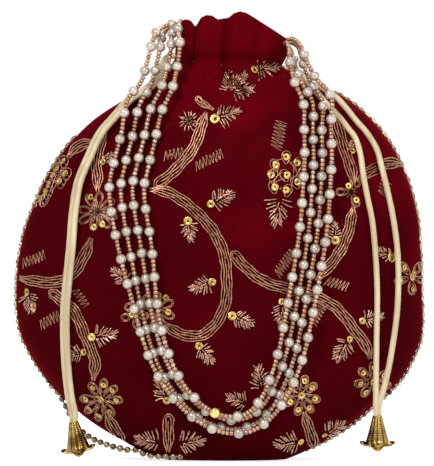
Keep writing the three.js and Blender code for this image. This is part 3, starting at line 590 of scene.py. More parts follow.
# The way a route of x and z goes at one of its rows
def heading_at(route, n):
    before, after = route[max(0, n - 1)], route[min(len(route) - 1, n + 1)]
    return Vector((after[0] - before[0], after[1] - before[1])).normalized()


# Hanging routes, as in the solids: nothing comes back towards the bag below where it stood furthest out
def hang(points):
    furthest = math.inf
    out = []
    for point in points:
        furthest = min(furthest, point.y)
        out.append(Vector((point.x, furthest, point.z)))
    return out


LEFT_ROUTE = [
    (-34.3, 207.8), (-40.7, 202), (-48, 197.8), (-56.7, 188.2), (-64.9, 178.4), (-70.4, 166.9),
    (-76.4, 152.2), (-79, 136.9), (-80.6, 117.1), (-82.3, 99.8), (-83.7, 85), (-83.8, 65.5), (-82.6, 46.5),
    (-80.9, 33.4),
]
RIGHT_INNER_ROUTE = [
    (42, 213), (50.2, 204.6), (58.9, 194.6), (65.5, 187.7), (70.4, 181.5), (74.4, 176), (77, 167.9),
    (78.6, 156.5), (80.8, 144.5), (83.5, 130.9), (85.3, 112.1), (86.2, 93.2), (85.9, 67.1), (85.6, 45.6),
    (85.5, 34.7),
]
RIGHT_OUTER_ROUTE = [
    (44.2, 212), (55.6, 204), (63.4, 198.9), (69.4, 192.5), (75.4, 185), (80.8, 178.9), (86.3, 169.7),
    (88.9, 160.3), (91.8, 148.3), (94.5, 135.9), (96.7, 121.6), (97.8, 108.5), (97.8, 93.2), (97, 80.2),
    (95.2, 66.4), (92.4, 50.6), (89.3, 37.6),
]
LEFT_BELL = (-79.4, 21.8)
RIGHT_BELL = (86.3, 25)
CORD_LIFT = CORD / 2 + WIRE_TOP + 2 * CLEARANCE
PAIR_SHIFT = CORD / 2 + 0.25
OVERLAP = 0.6
PAIR_FORWARD = 2 * PAIR_SHIFT * math.sqrt(1 - OVERLAP * OVERLAP)


def laid(route, shift):
    return hang([plain_front.before(x + shift, z, CORD_LIFT) for x, z in route])


def free_end(depth, route, shift, forward=0):
    points = laid(route, shift)
    for n, point in enumerate(points):
        settle = ease(0.55, 1, n / (len(points) - 1))
        point.y = mix(point.y, min(depth, point.y), settle) - forward
    return points


# The point of the neck at a height, found by halving
def neck_point(facing, s, z, inset):
    low, high = 1, 2.7
    for _ in range(24):
        middle = (low + high) / 2
        if velvet_point(facing, s, middle, inset).z < z:
            low = middle
        else:
            high = middle
    return velvet_point(facing, s, low, inset)


LOOP_INSET = 1.4
LOOP_POINTS = 120


def channel_loop(side, rise):
    inset = CLOTH + CHANNEL / 2 + LOOP_INSET
    halves = []
    for facing in (-1, 1):
        half = []
        for share in np.linspace(3 / COLUMNS, 1, LOOP_POINTS):
            s = side["sign"] * (1 - 2 * share)
            waist = velvet_point(facing, s, 2, inset)
            half.append(neck_point(facing, s, waist.z + rise, inset))
        halves.append(half)
    return halves[0] + halves[1][::-1][1:]


def slit_points(side, rise, y):
    z = side["waist_z"] + rise
    out = side["sign"] * CORD
    x = side["sign"] * (side["waist_x"] + CORD * 0.6)
    return [Vector((x - out * 1.6, y * 1.35, z)), Vector((x + out * 0.5, y, z))]


LEFT_BELL_AT = Vector((LEFT_BELL[0], laid(LEFT_ROUTE, 0)[-1].y, LEFT_BELL[1]))
RIGHT_BELL_AT = Vector((RIGHT_BELL[0], laid(RIGHT_INNER_ROUTE, 0)[-1].y, RIGHT_BELL[1]))


def cord_run(side, rise, y, points, bell_at, shift):
    behind = Vector((0, math.copysign(1.0, y), 0))
    over_bell = bell_at + behind + Vector((shift * 0.5, 0, CORD * 1.6))
    in_bell = bell_at + behind * 0.5 + Vector((shift * 0.3, 0, -CORD))
    return slit_points(side, rise, y) + points + [over_bell, in_bell]


CORD_STEP = 1.2
CORD_WAVE = 0.015
CORD_WAVE_STEP = 0.9
CORD_SIDES = 12


def make_cord(name, line, node):
    shape = Shape()
    points = line.every(CORD_STEP)
    wave = np.arange(len(points)) * CORD_WAVE_STEP
    add_tube(shape, points, CORD / 2 * (1 + CORD_WAVE * np.sin(wave)), CORD_SIDES)
    piece = declare(shape.make(name, SATIN), "satin_cord", node)


# Bells: a ribbed and fluted trumpet that opens into thick petals, those at its sides turned up
BELL_RINGS = 15
BELL_FLUTES = 10
BELL_AROUND = 120
BELL_STEPS = 90
BELL_LINE = [
    (0, 2.5, 19), (0.15, 3, 16.2), (0.35, 3.9, 12.6), (0.55, 4.9, 8.9), (0.7, 5.7, 6), (0.8, 6.4, 4.3),
    (0.9, 7.9, 3.1), (1, 9.8, 2.6),
]
BELL_WALLS = [(0, 0.5), (0.6, 0.6), (0.86, 0.9), (0.96, 1.3), (1, 0.7)]
PETAL_REACH = 3
NOTCH_REACH = 2
NOTCH_RISE = 1.4
SIDE_RISE = 1.5
RIM_DROP = 0.5
TIP_CURL = 1.6
FLUTE_DEPTH = 0.5
RING_DEPTH = 0.15
RINGS_END = 0.72
FLUTES_END = 0.84


def flute_at(turn):
    return abs(math.cos(BELL_FLUTES / 2 * turn))


def rib_at(share):
    return math.sin(share * 2 * math.pi * BELL_RINGS)


# Radius and height of the bell's outside, or of its inside a wall behind it
def bell_surface(turn, share, inside):
    places, radii, heights = zip(*BELL_LINE)
    radius = float(np.interp(share, places, radii))
    height = float(np.interp(share, places, heights))
    petal = math.sin(BELL_PETALS / 2 * turn) ** 2
    flare = ease(0.74, 1, share)
    sideways = math.cos(2 * turn)
    radius += flare * (PETAL_REACH * petal - NOTCH_REACH)
    height += flare * (SIDE_RISE * sideways + NOTCH_RISE * (1 - petal) - RIM_DROP)
    height += TIP_CURL * petal * (0.5 + 0.5 * sideways) * ease(0.86, 1, share)
    if inside:
        wall = float(np.interp(share, *zip(*BELL_WALLS)))
        return radius - wall * (1 - 0.6 * flare), height - wall * flare
    upper = ease(0.05, 0.1, share)
    radius += FLUTE_DEPTH * (flute_at(turn) - 0.6) * upper * (1 - flare)
    return radius + RING_DEPTH * rib_at(share) * upper * (1 - ease(0.7, 0.78, share)), height


# Painted shade: the grooves between the ribs and between the flutes, and the inside, take a darker gold that
# stands in for the shade and dark reflections there
def bell_looks():
    looks = []
    for n in range(BELL_AROUND):
        valley = flute_at(2 * math.pi * (n + 0.5) / BELL_AROUND) < 0.4
        for step in range(BELL_STEPS):
            groove = rib_at((step + 0.5) / BELL_STEPS) < -0.7 and step < RINGS_END * BELL_STEPS
            fluted = 0.05 * BELL_STEPS < step < FLUTES_END * BELL_STEPS
            looks += [1, 1 if groove or valley and fluted else 0]
        looks += [0, 0]
    return looks


def make_bell(name, node, at, lean):
    points = []
    for inside in (True, False):
        for step in range(BELL_STEPS + 1):
            for n in range(BELL_AROUND):
                turn = 2 * math.pi * n / BELL_AROUND
                radius, height = bell_surface(turn, step / BELL_STEPS, inside)
                x, y, z = radius * math.cos(turn), radius * math.sin(turn), height - BELL_HEIGHT
                across = x * math.cos(lean) - z * math.sin(lean)
                points.append(at + Vector((across, y, x * math.sin(lean) + z * math.cos(lean))))
    shape = Shape()
    shape.add(points, sleeve_faces(BELL_STEPS + 1, BELL_AROUND))
    shape.looks = bell_looks()
    return declare(shape.make(name, BELL_GOLD, BELL_PAINTED_SHADE), "gold_metal", node)


# A knot's profile from the bell's top down: distance and radius
KNOT_NECK = THROAT / 2 - 0.9
KNOT_PROFILE = [
    (0.3, 0.9), (0.8, KNOT_NECK), (4.6, KNOT_NECK), (5.6, KNOT * 0.38), (7, KNOT * 0.46), (9, KNOT * 0.5),
    (10.4, KNOT * 0.42), (11.2, 0.9),
]


def make_knot(name, node, at, lean, tail):
    shape = Shape()
    down = Vector((math.sin(lean), 0, -math.cos(lean)))
    add_bead(shape, at, down, KNOT_PROFILE, 20)
    if tail:
        start = at + down * 8
        ends = [start, start + down * 4 + Vector((-0.6, -1, 0)), start + down * 8.5 + Vector((-1.6, -1.6, 0))]
        add_tube(shape, Line(ends).every(1), CORD * 0.42, 10)
    return declare(shape.make(name, SATIN), "satin_cord", node)


def make_drawstrings():
    left_bell = make_bell("left_flower_bell", "left_bell", LEFT_BELL_AT, LEFT_BELL_LEAN)
    right_bell = make_bell("right_flower_bell", "right_bell", RIGHT_BELL_AT, 0)
    left_knot = make_knot("left_cord_knot", "left_drawstring", LEFT_BELL_AT, LEFT_BELL_LEAN, True)
    right_knot = make_knot("right_cord_knot", "right_drawstring", RIGHT_BELL_AT, 0, False)
    left_pieces, right_pieces = [left_bell, left_knot], [right_bell, right_knot]
    aside = PAIR_SHIFT * OVERLAP
    left = (LEFT, CORD_RISE, "left_drawstring", LEFT_BELL_AT)
    right = (RIGHT, -CORD_RISE, "right_drawstring", RIGHT_BELL_AT)
    for name, (side, rise, node, bell_at), route, shift, pieces in (
        ("left_cord_right", left, (LEFT_ROUTE, aside, PAIR_FORWARD), PAIR_SHIFT, left_pieces),
        ("left_cord_left", left, (LEFT_ROUTE, -aside), -PAIR_SHIFT, []),
        ("right_cord_inner", right, (RIGHT_INNER_ROUTE, 0), -PAIR_SHIFT, right_pieces),
        ("right_cord_outer", right, (RIGHT_OUTER_ROUTE, 0), PAIR_SHIFT, []),
    ):
        free = free_end(bell_at.y, *route)
        line = Line(cord_run(side, rise, -PAIR_SHIFT if pieces else PAIR_SHIFT, free, bell_at, shift))
        make_cord(name, line, node)
    for name, (side, rise, node, _) in (("left_channel_cord", left), ("right_channel_cord", right)):
        start = slit_points(side, rise, -PAIR_SHIFT)[0]
        end = slit_points(side, rise, PAIR_SHIFT)[0]
        make_cord(name, Line([start, *channel_loop(side, rise), end]), node)


# Handle strands: x and z of their middle, how far the outer two roll over the inner two, and a held depth
HANDLE_ROUTE = [
    (-9, 223, 1, 2), (-14.6, 230.8, 1, 2), (-20.6, 236.8, 1, 2.4), (-25.8, 235.8, 0.95, -2),
    (-28.8, 230.8, 0.7, -9), (-29.2, 225, 0.45, -15.2), (-31.3, 215, 0.35, -16), (-34.6, 203.4, 0.25, -17),
    (-37.9, 188.9, 0.2), (-42.8, 174.2, 0.15), (-46.7, 159.5, 0.1), (-48.9, 148.6, 0.1),
    (-47.7, 134.1, 0.15), (-45.2, 120, 0.2), (-42.8, 105.9, 0.4), (-40.1, 90.5, 0.6), (-36.7, 73.7, 0.72),
    (-31.9, 58, 0.78), (-25.4, 45.1, 0.84), (-17.5, 34.9, 0.88), (-7.5, 26.8, 0.9), (3.9, 22.5, 0.88),
    (15.4, 23.5, 0.84), (25.4, 31.3, 0.78), (32.8, 44.2, 0.68), (38.4, 59.9, 0.6), (41.6, 75, 0.56),
    (44.6, 91.5, 0.54), (47.2, 106.3, 0.54), (49.3, 120, 0.54), (50.9, 134.1, 0.54), (51.8, 148.6, 0.54),
    (52.6, 163.3, 0.54), (52.2, 178.5, 0.56), (50.8, 192.6, 0.6), (47.8, 205.7, 0.7, -20),
    (44, 215.6, 0.88, -17), (42.6, 221.4, 0.98, -13), (41.2, 225.2, 1, -7), (38.6, 226.6, 1, -1.2),
    (35, 225.6, 1, 2.2), (30.5, 222, 1, 2),
]
OVER_CORDS = 186
BOTTOM_OF_HANDLE = 21
STRAND_LIFT = PEARL / 2 + WIRE_TOP + CLEARANCE
GOLD_BEAD_STRAND = 3
GOLD_BEAD_AT = (-2, 26.3)
TOP_RAISED = 3.2
TOP_LOWERED = -1.8
TOP_AHEAD = 3
LOW_CLOSENESS = 0.76
LOW_AHEAD = 2.6
ENDS = 5


def strand_points(strand):
    outside = strand in (0, 3)
    handed = 1 if strand < 2 else -1
    last = len(HANDLE_ROUTE) - 1
    flat, base = [], []
    for n, (x, z, roll, *held) in enumerate(HANDLE_ROUTE):
        along = heading_at(HANDLE_ROUTE, n)
        from_end = min(n, last - n)
        spacing = mix(END_SPACING, STRAND_SPACING, ease(1, 3.6, from_end))
        turn = roll * math.pi / 2
        close = mix(1, LOW_CLOSENESS, ease(13, 16, n))
        across = handed * spacing * (0.5 + math.cos(turn) if outside else 0.5 * close)
        level = ease(0.5, 2, n) * (1 - ease(3, 6, n))
        x += across * along.y
        z += level * (TOP_RAISED if handed < 0 else TOP_LOWERED) - across * along.x
        flat.append((spacing * math.sin(turn), turn))
        lift = STRAND_LIFT + (CORD + CLEARANCE if z > OVER_CORDS else 0)
        if held:
            y = held[0] if from_end < ENDS else min(held[0], plain_front.before(x, z, lift).y)
            base.append(Vector((x, y - (TOP_AHEAD * level if handed < 0 else 0), z)))
        else:
            base.append(plain_front.lay(x, z, lift))
    turned = BOTTOM_OF_HANDLE + 1
    points = hang(base[:turned]) + hang(base[turned:][::-1])[::-1]
    if handed < 0:
        for n, point in enumerate(points):
            point.y -= LOW_AHEAD * ease(12, 15, n) * (1 - ease(23, 28, n))
    return [(point, *flat[n]) for n, point in enumerate(points)]


def strand_line(strand):
    own = strand_points(strand)
    inner = strand_points(1 if strand < 2 else 2)
    points = []
    for n, (point, step, turn) in enumerate(own):
        if strand in (0, 3):
            along = (inner[min(len(own) - 1, n + 1)][0] - inner[max(0, n - 1)][0]).normalized()
            forward = (Vector((0, -1, 0)) + along * along.y).normalized()
            over = Vector((point.x, inner[n][0].y, point.z)) + forward * step
            over.y = min(over.y, point.y)
            point = point.lerp(over, ease(0, 0.35, math.sin(turn)))
        points.append(point)
    return Line(points)


# Beads of the strands
THREAD = 0.35
PEARL_RINGS = 8
PEARL_SIDES = 14
PITCH_PLAY = 1.1
EVEN_PEARLS = 3
SEED_LENGTH = 1.9
SEED_HOLE = 0.55
SEED_SIDES = 9
SEED_LOOKS = (1, 1, 2, 3)
SEED_TILT = 0.12


# Short seed beads that fill the thread between two pearls
def add_seeds(shape, line, start, end):
    count = max(1, int((end - start) / SEED_LENGTH))
    half = (end - start) / count / 2
    for n in range(count):
        place = mix(start, end, (n + 0.5) / count)
        radius = SEED / 2 * chance.uniform(0.86, 1.0)
        profile = [(-half, SEED_HOLE), (-0.8 * half, radius * 0.8), (-0.3 * half, radius)]
        profile += [(-far, own) for far, own in reversed(profile)]
        tilt = Vector([chance.uniform(-SEED_TILT, SEED_TILT) for _ in range(3)])
        along = Vector(line.along(place)) + tilt
        add_bead(shape, line.at(place), along, profile, SEED_SIDES, chance.choice(SEED_LOOKS))


def make_strand(strand):
    line = strand_line(strand)
    shape = Shape()
    thread = line.every(3)
    add_tube(shape, thread, THREAD, 5, 1)
    middles = []
    gold = None
    place = FIRST_PEARLS[strand]
    while place < line.length - LAST_PEARL:
        at = line.at(place)
        near = math.hypot(at[0] - GOLD_BEAD_AT[0], at[2] - GOLD_BEAD_AT[1]) < PEARL_PITCH / 2 + 1
        if strand == GOLD_BEAD_STRAND and near and gold is None:
            gold = place
        else:
            add_bead(shape, at, line.along(place), ball_profile(PEARL / 2, PEARL_RINGS), PEARL_SIDES)
        middles.append(place)
        place += PEARL_PITCH
        if len(middles) > EVEN_PEARLS:
            place += chance.uniform(-PITCH_PLAY, PITCH_PLAY)
    stops = [-PEARL / 2] + middles + [line.length + PEARL / 2]
    for before, after in zip(stops, stops[1:]):
        add_seeds(shape, line, before + PEARL / 2, after - PEARL / 2)
    piece = shape.make(f"pearl_strand_{strand + 1}", PEARL_WHITE, SEED_COPPER, SEED_CLEAR, SEED_ROSE)
    declare(piece, "pearl", f"handle_strand_{strand + 1}")
    if gold is not None:
        bead = Shape()
        add_bead(bead, line.at(gold), line.along(gold), ball_profile(GOLD_BEAD / 2, 14, 0.25), 24)
        declare(bead.make("round_gold_bead", BEAD_GOLD), "gold_metal", "gold_bead")


# Velvet panels. Folds have a place across, a depth, a width, and the first and last v they reach
FOLDS = [
    (-0.4, 6.2, 0.045, 1.55, 3.4), (-0.045, 6.2, 0.042, 1.6, 3.4), (-0.05, 8.5, 0.034, 0.6, 1.95),
    (0.3, 1.6, 0.07, 2.0, 3.4), (0.6, 1.6, 0.05, 1.0, 2.5), (-0.66, 2.2, 0.05, 0.85, 2.3),
    (0.16, 1.5, 0.04, 0.8, 2.1), (-0.2, 1.7, 0.04, 0.85, 2.2), (-0.52, 1.8, 0.04, 0.7, 2.0),
    (0.4, 1.1, 0.045, 1.0, 2.1), (0.02, 1.2, 0.07, 0.55, 1.2),
]
BACK_FOLDS = [
    (-0.5, 2.6, 0.05, 0.9, 3.4), (-0.2, 3.0, 0.045, 0.8, 3.4), (0.1, 2.4, 0.05, 0.85, 3.4),
    (0.38, 3.0, 0.045, 0.8, 3.4), (0.66, 2.0, 0.05, 0.9, 2.6), (-0.74, 1.6, 0.05, 0.9, 2.6),
]
FRILL_TOP = [
    (-23.7, 227.4), (-22.8, 233), (-21.6, 238), (-20.4, 240.2), (-18.7, 241), (-16.4, 240.2),
    (-14.6, 237.8), (-13.2, 236.6), (-11.6, 239), (-10, 241.8), (-7, 243.3), (-4, 242.9), (-1, 240.8),
    (5.4, 241.9), (8, 244.2), (11.5, 245.3), (15, 244.4), (20, 241.4), (26, 237.6), (32, 233.8),
    (36.5, 230.9), (38.2, 229.2), (38.8, 227), (39, 223.8),
]


# The deepest fold leans to the right below the neck and falls away slowly on its left
DEEP_FOLD = 8
DEEP_LEAN = 0.09
DEEP_LEFT = 0.42
DEEP_RIGHT = 1.3
FINE_GATHERS = 7
FINE_SHARE = 0.35
SHOULDER = 0.34
PINCH = 2.6
PINCH_PLAY = 0.7
FRILL_SWELL = 1.8


def bell_curve(t):
    return math.exp(-(t**2))


def velvet_fold(facing, s, v):
    folds = FOLDS if facing < 0 else BACK_FOLDS
    total = FINE_SHARE * gather_at(v) * math.cos(math.pi * FINE_GATHERS * (s + 1) + facing)
    for middle, depth, width, start, end in folds:
        reach = ease(start, start + 0.35, v) * (1 - ease(end - 0.3, end, v))
        near = (s - middle) / (width * mix(1.6, 1, ease(0.8, 1.2, v)))
        if depth > DEEP_FOLD:
            lower = 1 - ease(1.1, 1.95, v)
            near -= DEEP_LEAN * lower / width
            near *= mix(1, DEEP_LEFT if near < 0 else DEEP_RIGHT, lower)
        total += depth * reach * (SHOULDER * bell_curve(near / 3) - bell_curve(near))
    pinch = PINCH + PINCH_PLAY * math.sin(9 * s + facing)
    return total - pinch * bell_curve((v - 2.04) / 0.13) + FRILL_SWELL * bell_curve((v - 2.5) / 0.3)


BACK_LOWER = 2.2
BACK_WAVE = 0.9


def velvet_crest(facing, u, s, v):
    if v <= 2:
        return 0
    x = mix(-LEFT["tip_x"], RIGHT["tip_x"], (u + 1) / 2)
    tip = mix(LEFT["tip_z"], RIGHT["tip_z"], (u + 1) / 2)
    top = float(np.interp(x, *zip(*FRILL_TOP)))
    if facing > 0:
        lower = top - BACK_LOWER - BACK_WAVE * math.sin(0.55 * x)
        top = mix(tip, lower, 1 - u**SEAM_FLATTENS)
    return (v - 2) * (top - tip)


def velvet_point(facing, s, v, inset):
    return panel_point(facing, s, v, inset, 0, velvet_fold, velvet_crest)


# How much further out the stuffed sides reach than the plain shape, by height
RIGHT_FULLNESS = [
    (24, 0), (34, 2), (43, 4.2), (54, 4.2), (65, 4.7), (76, 3), (88, 1.4), (120, 1.6), (131, 2.6),
    (175, 2.9), (188, 2.4), (204, 0),
]
LEFT_FULLNESS = [
    (35, 0), (54, 0.9), (65, 2.2), (76, 1.9), (90, 1.4), (120, 1.5), (140, 1), (155, 1.4), (172, 2),
    (186, 2), (202, 0),
]


def fullness(x, z):
    heights, reaches = zip(*(RIGHT_FULLNESS if x > 0 else LEFT_FULLNESS))
    return math.copysign(float(np.interp(z, heights, reaches)), x)


VELVET_COLUMNS = 144
VELVET_RAYS = 72
VELVET_ROWS = [n / 66 for n in range(66)] + [1 + n / 22 for n in range(22)] + [2 + n / 26 for n in range(27)]
VELVET_FACES, VELVET_RIM = sheet_grid(VELVET_COLUMNS, VELVET_ROWS, VELVET_RAYS)
SWELL = 1.3
SWELL_SCALE = 0.034
RIPPLE = 0.28
RIPPLE_SCALE = 0.11


def velvet_sheet(facing, inset):
    grid = (VELVET_COLUMNS, VELVET_ROWS, VELVET_RAYS)
    points = sheet_points(facing, inset, SEAM_GAP / 2, *grid, fold=velvet_fold, crest=velvet_crest)
    half = VELVET_COLUMNS // 2
    shares = [across_at(column / half - 1) for _ in VELVET_ROWS for column in range(VELVET_COLUMNS + 1)]
    shares += [across_at(step / half) for _ in range(VELVET_RAYS - 1) for step in range(1, half + 1)]
    for point, share in zip(points, shares):
        point.x += share**4 * fullness(point.x, point.z)
    for point in points:
        soft = ease(0, 14, abs(point.y)) * ease(1, 14, point.z)
        swell = noise.noise(point * SWELL_SCALE + Vector((0, facing * 7, 0))) * SWELL
        ripple = noise.noise(point * RIPPLE_SCALE + Vector((3, facing * 5, 1))) * RIPPLE
        point.y += facing * soft * (swell + ripple)
    return points


def make_panel(name, node, facing):
    outer = velvet_sheet(facing, 0)
    inner = velvet_sheet(facing, CLOTH)
    shift = len(outer)
    faces = []
    for face in VELVET_FACES:
        faces.append(face)
        faces.append(tuple(shift + corner for corner in reversed(face)))
    for n, p in enumerate(VELVET_RIM):
        q = VELVET_RIM[(n + 1) % len(VELVET_RIM)]
        faces.append((q, p, p + shift, q + shift))
    if facing > 0:
        faces = [tuple(reversed(face)) for face in faces]
    shape = Shape()
    shape.add(outer + inner, faces)
    piece = declare(shape.make(name, VELVET), "velvet", node)
    return outer


CASING_ROWS = [0.88, 0.94, 1, 1.25, 1.5, 1.75, 2, 2.25, 2.5, 2.65, 2.8]
CASING_AROUND = 128


def make_casing():
    points = []
    for layer in (0, CASING):
        for v in CASING_ROWS:
            open_share = ease(0.88, 1, v) * (1 - ease(2.5, 2.8, v))
            inset = CLOTH + mix(CLEARANCE, CHANNEL, open_share) + layer
            for n in range(CASING_AROUND):
                front = n <= CASING_AROUND // 2
                s = (n if front else CASING_AROUND - n) / (CASING_AROUND / 4) - 1
                points.append(velvet_point(-1 if front else 1, s, v, inset))
    shape = Shape()
    shape.add(points, sleeve_faces(len(CASING_ROWS), CASING_AROUND))
    declare(shape.make("neck_channel", VELVET), "velvet", "neck_casing")


# Beads along the side seam. A loose stretch at the lower left hangs free, with larger beads, and comes back
# to the front of the bag along these dots of the picture
LOOSE_DOTS = [(137, 447.5), (144, 450.5), (153, 453.5), (162, 455.5), (171, 456.3), (179, 456.6)]
LOOSE_BELOW = 42
LOOSE_FROM = -88
LOOSE_PITCH = 4.5
LOOSE_SIZE = 1.4
ROUND_BELOW = 78
ROUND_PITCH = 3.7
ROUND_LONG = 1.02
EDGE_LONG = 1.5
EDGE_HOLE = 0.3
SMALL_BEAD = 0.7
LEFT_ENDS = 0.66
RIGHT_ENDS = 0.82
BOTTOM_STEPS = 48
TUCK_DEPTH = 1.2


# The seam as x, z and slack, from the upper left round the bottom to the upper right
def seam_places():
    seam = [(*edge_of(LEFT, LEFT_ENDS * (1 - n / 12), 0), 0) for n in range(13)]
    for n in range(1, BOTTOM_STEPS):
        share = 1 + n / BOTTOM_STEPS
        point = bottom_point(-1, 1, math.pi * share, 0, 0, True)
        loose = ease(1.2, 1.28, share) * (1 - ease(1.28, 1.4, share))
        seam.append((point.x, point.z, EDGE_SLACK * loose))
    return seam + [(*edge_of(RIGHT, RIGHT_ENDS * n / 14, 0), 0) for n in range(15)]


def edging_line(cloth):
    seam = seam_places()
    low = EDGE_BEAD / 2 + CLEARANCE
    points = []
    for n, (x, z, slack) in enumerate(seam):
        along = heading_at(seam, n)
        tucked = max(ease(60, 100, x) * ease(50, 90, z), ease(112, 142, z))
        away = mix(0.7 if x > 0 else 0.3, 0.2, tucked) + slack
        out = x + fullness(x, z) + away * along.y
        points.append(Vector((out, TUCK_DEPTH * tucked, max(low, z - away * along.x))))
    shown = []
    for px, py in LOOSE_DOTS:
        point, normal = cloth.find(px, py)
        point += normal * low
        point.z = max(point.z, LOOSE_SIZE * low)
        shown.append(point)
    under = [n for n, point in enumerate(points) if point.z < LOOSE_BELOW / 2]
    first = next(n for n in under if points[n].x > shown[0].x - 4)
    last = next(n for n in under if points[n].x > shown[-1].x + 8)
    for point in points[:first]:
        if point.z < LOOSE_BELOW:
            point.y += shown[0].y * ease(LOOSE_FROM, shown[0].x, point.x)
    return Line(points[:first] + shown + points[last:])


# How many of the beads are dark: most at the top and at the lower left, few along the sides
def dark_share(x, z):
    if z > 125:
        return 0.8
    if z > 60:
        return 0.2
    return 0.95 if x < 0 else 0.4


def make_edging(cloth):
    line = edging_line(cloth)
    shape = Shape()
    thread = line.every(3)
    add_tube(shape, thread, [0.5 if z < ROUND_BELOW else 0.75 for _, _, z in thread], 6, 1)
    place = EDGE_PITCH / 2
    while place < line.length - EDGE_PITCH / 2:
        size = chance.uniform(0.9, 1.0)
        x, _, z = at = line.at(place)
        look = 1 if chance.random() < dark_share(x, z) else 0
        pitch, long = EDGE_PITCH, EDGE_LONG
        if z < ROUND_BELOW:
            pitch, long = ROUND_PITCH, ROUND_LONG
        else:
            between = place + 0.5 * pitch
            small = ball_profile(SMALL_BEAD, 4, EDGE_HOLE, 0.7)
            add_bead(shape, line.at(between), line.along(between), small, 8, 1)
        if x < 0 and z < LOOSE_BELOW:
            pitch = LOOSE_PITCH
            size *= LOOSE_SIZE
        bead = ball_profile(EDGE_BEAD / 2 * size, 6, EDGE_HOLE, long)
        add_bead(shape, at, line.along(place), bead, 10, look)
        place += pitch
    declare(shape.make("seam_beads", EDGE_PEARL, EDGE_DARK), "edge_bead", "bead_edging")


# The dot at a distance along a heading from another dot, and to its side
def off(px, py, way, long, wide=0):
    x = px + long * math.cos(way) - wide * math.sin(way)
    return x, py + long * math.sin(way) + wide * math.cos(way)


def flat_line(dots, fine):
    return Line([Vector((x, y, 0)) for x, y in dots], fine)


# Materials of the embroidery by number, and the radii of its wires in millimetres
WIRE, SEQUIN, DARK, CHIP = range(4)
VINE_WIRE = 0.42
LOOP_WIRE = 0.33
INNER_WIRE = 0.28
ZIGZAG_WIRE = 0.24
LINK_WIRE = 0.3
CHIP_WIRE = 0.5
THIN_CHIP = 0.42
BURST_CHIP = 0.4
# Sequins as rings of share of the radius and height over the velvet
SEQUIN_RINGS = [(0.24, 0.95), (0.24, 0.7), (0.62, 0.62), (1.0, 0.95), (1.0, 1.15), (0.62, 0.84)]
SEQUIN_SIDES = 14
SEQUIN_TILT = 0.16
PETAL_SEQUIN = 6.2
MIDDLE_SEQUIN = 7.6
BUNCH_SEQUIN = 7.4
LOOSE_SEQUIN = 6.6


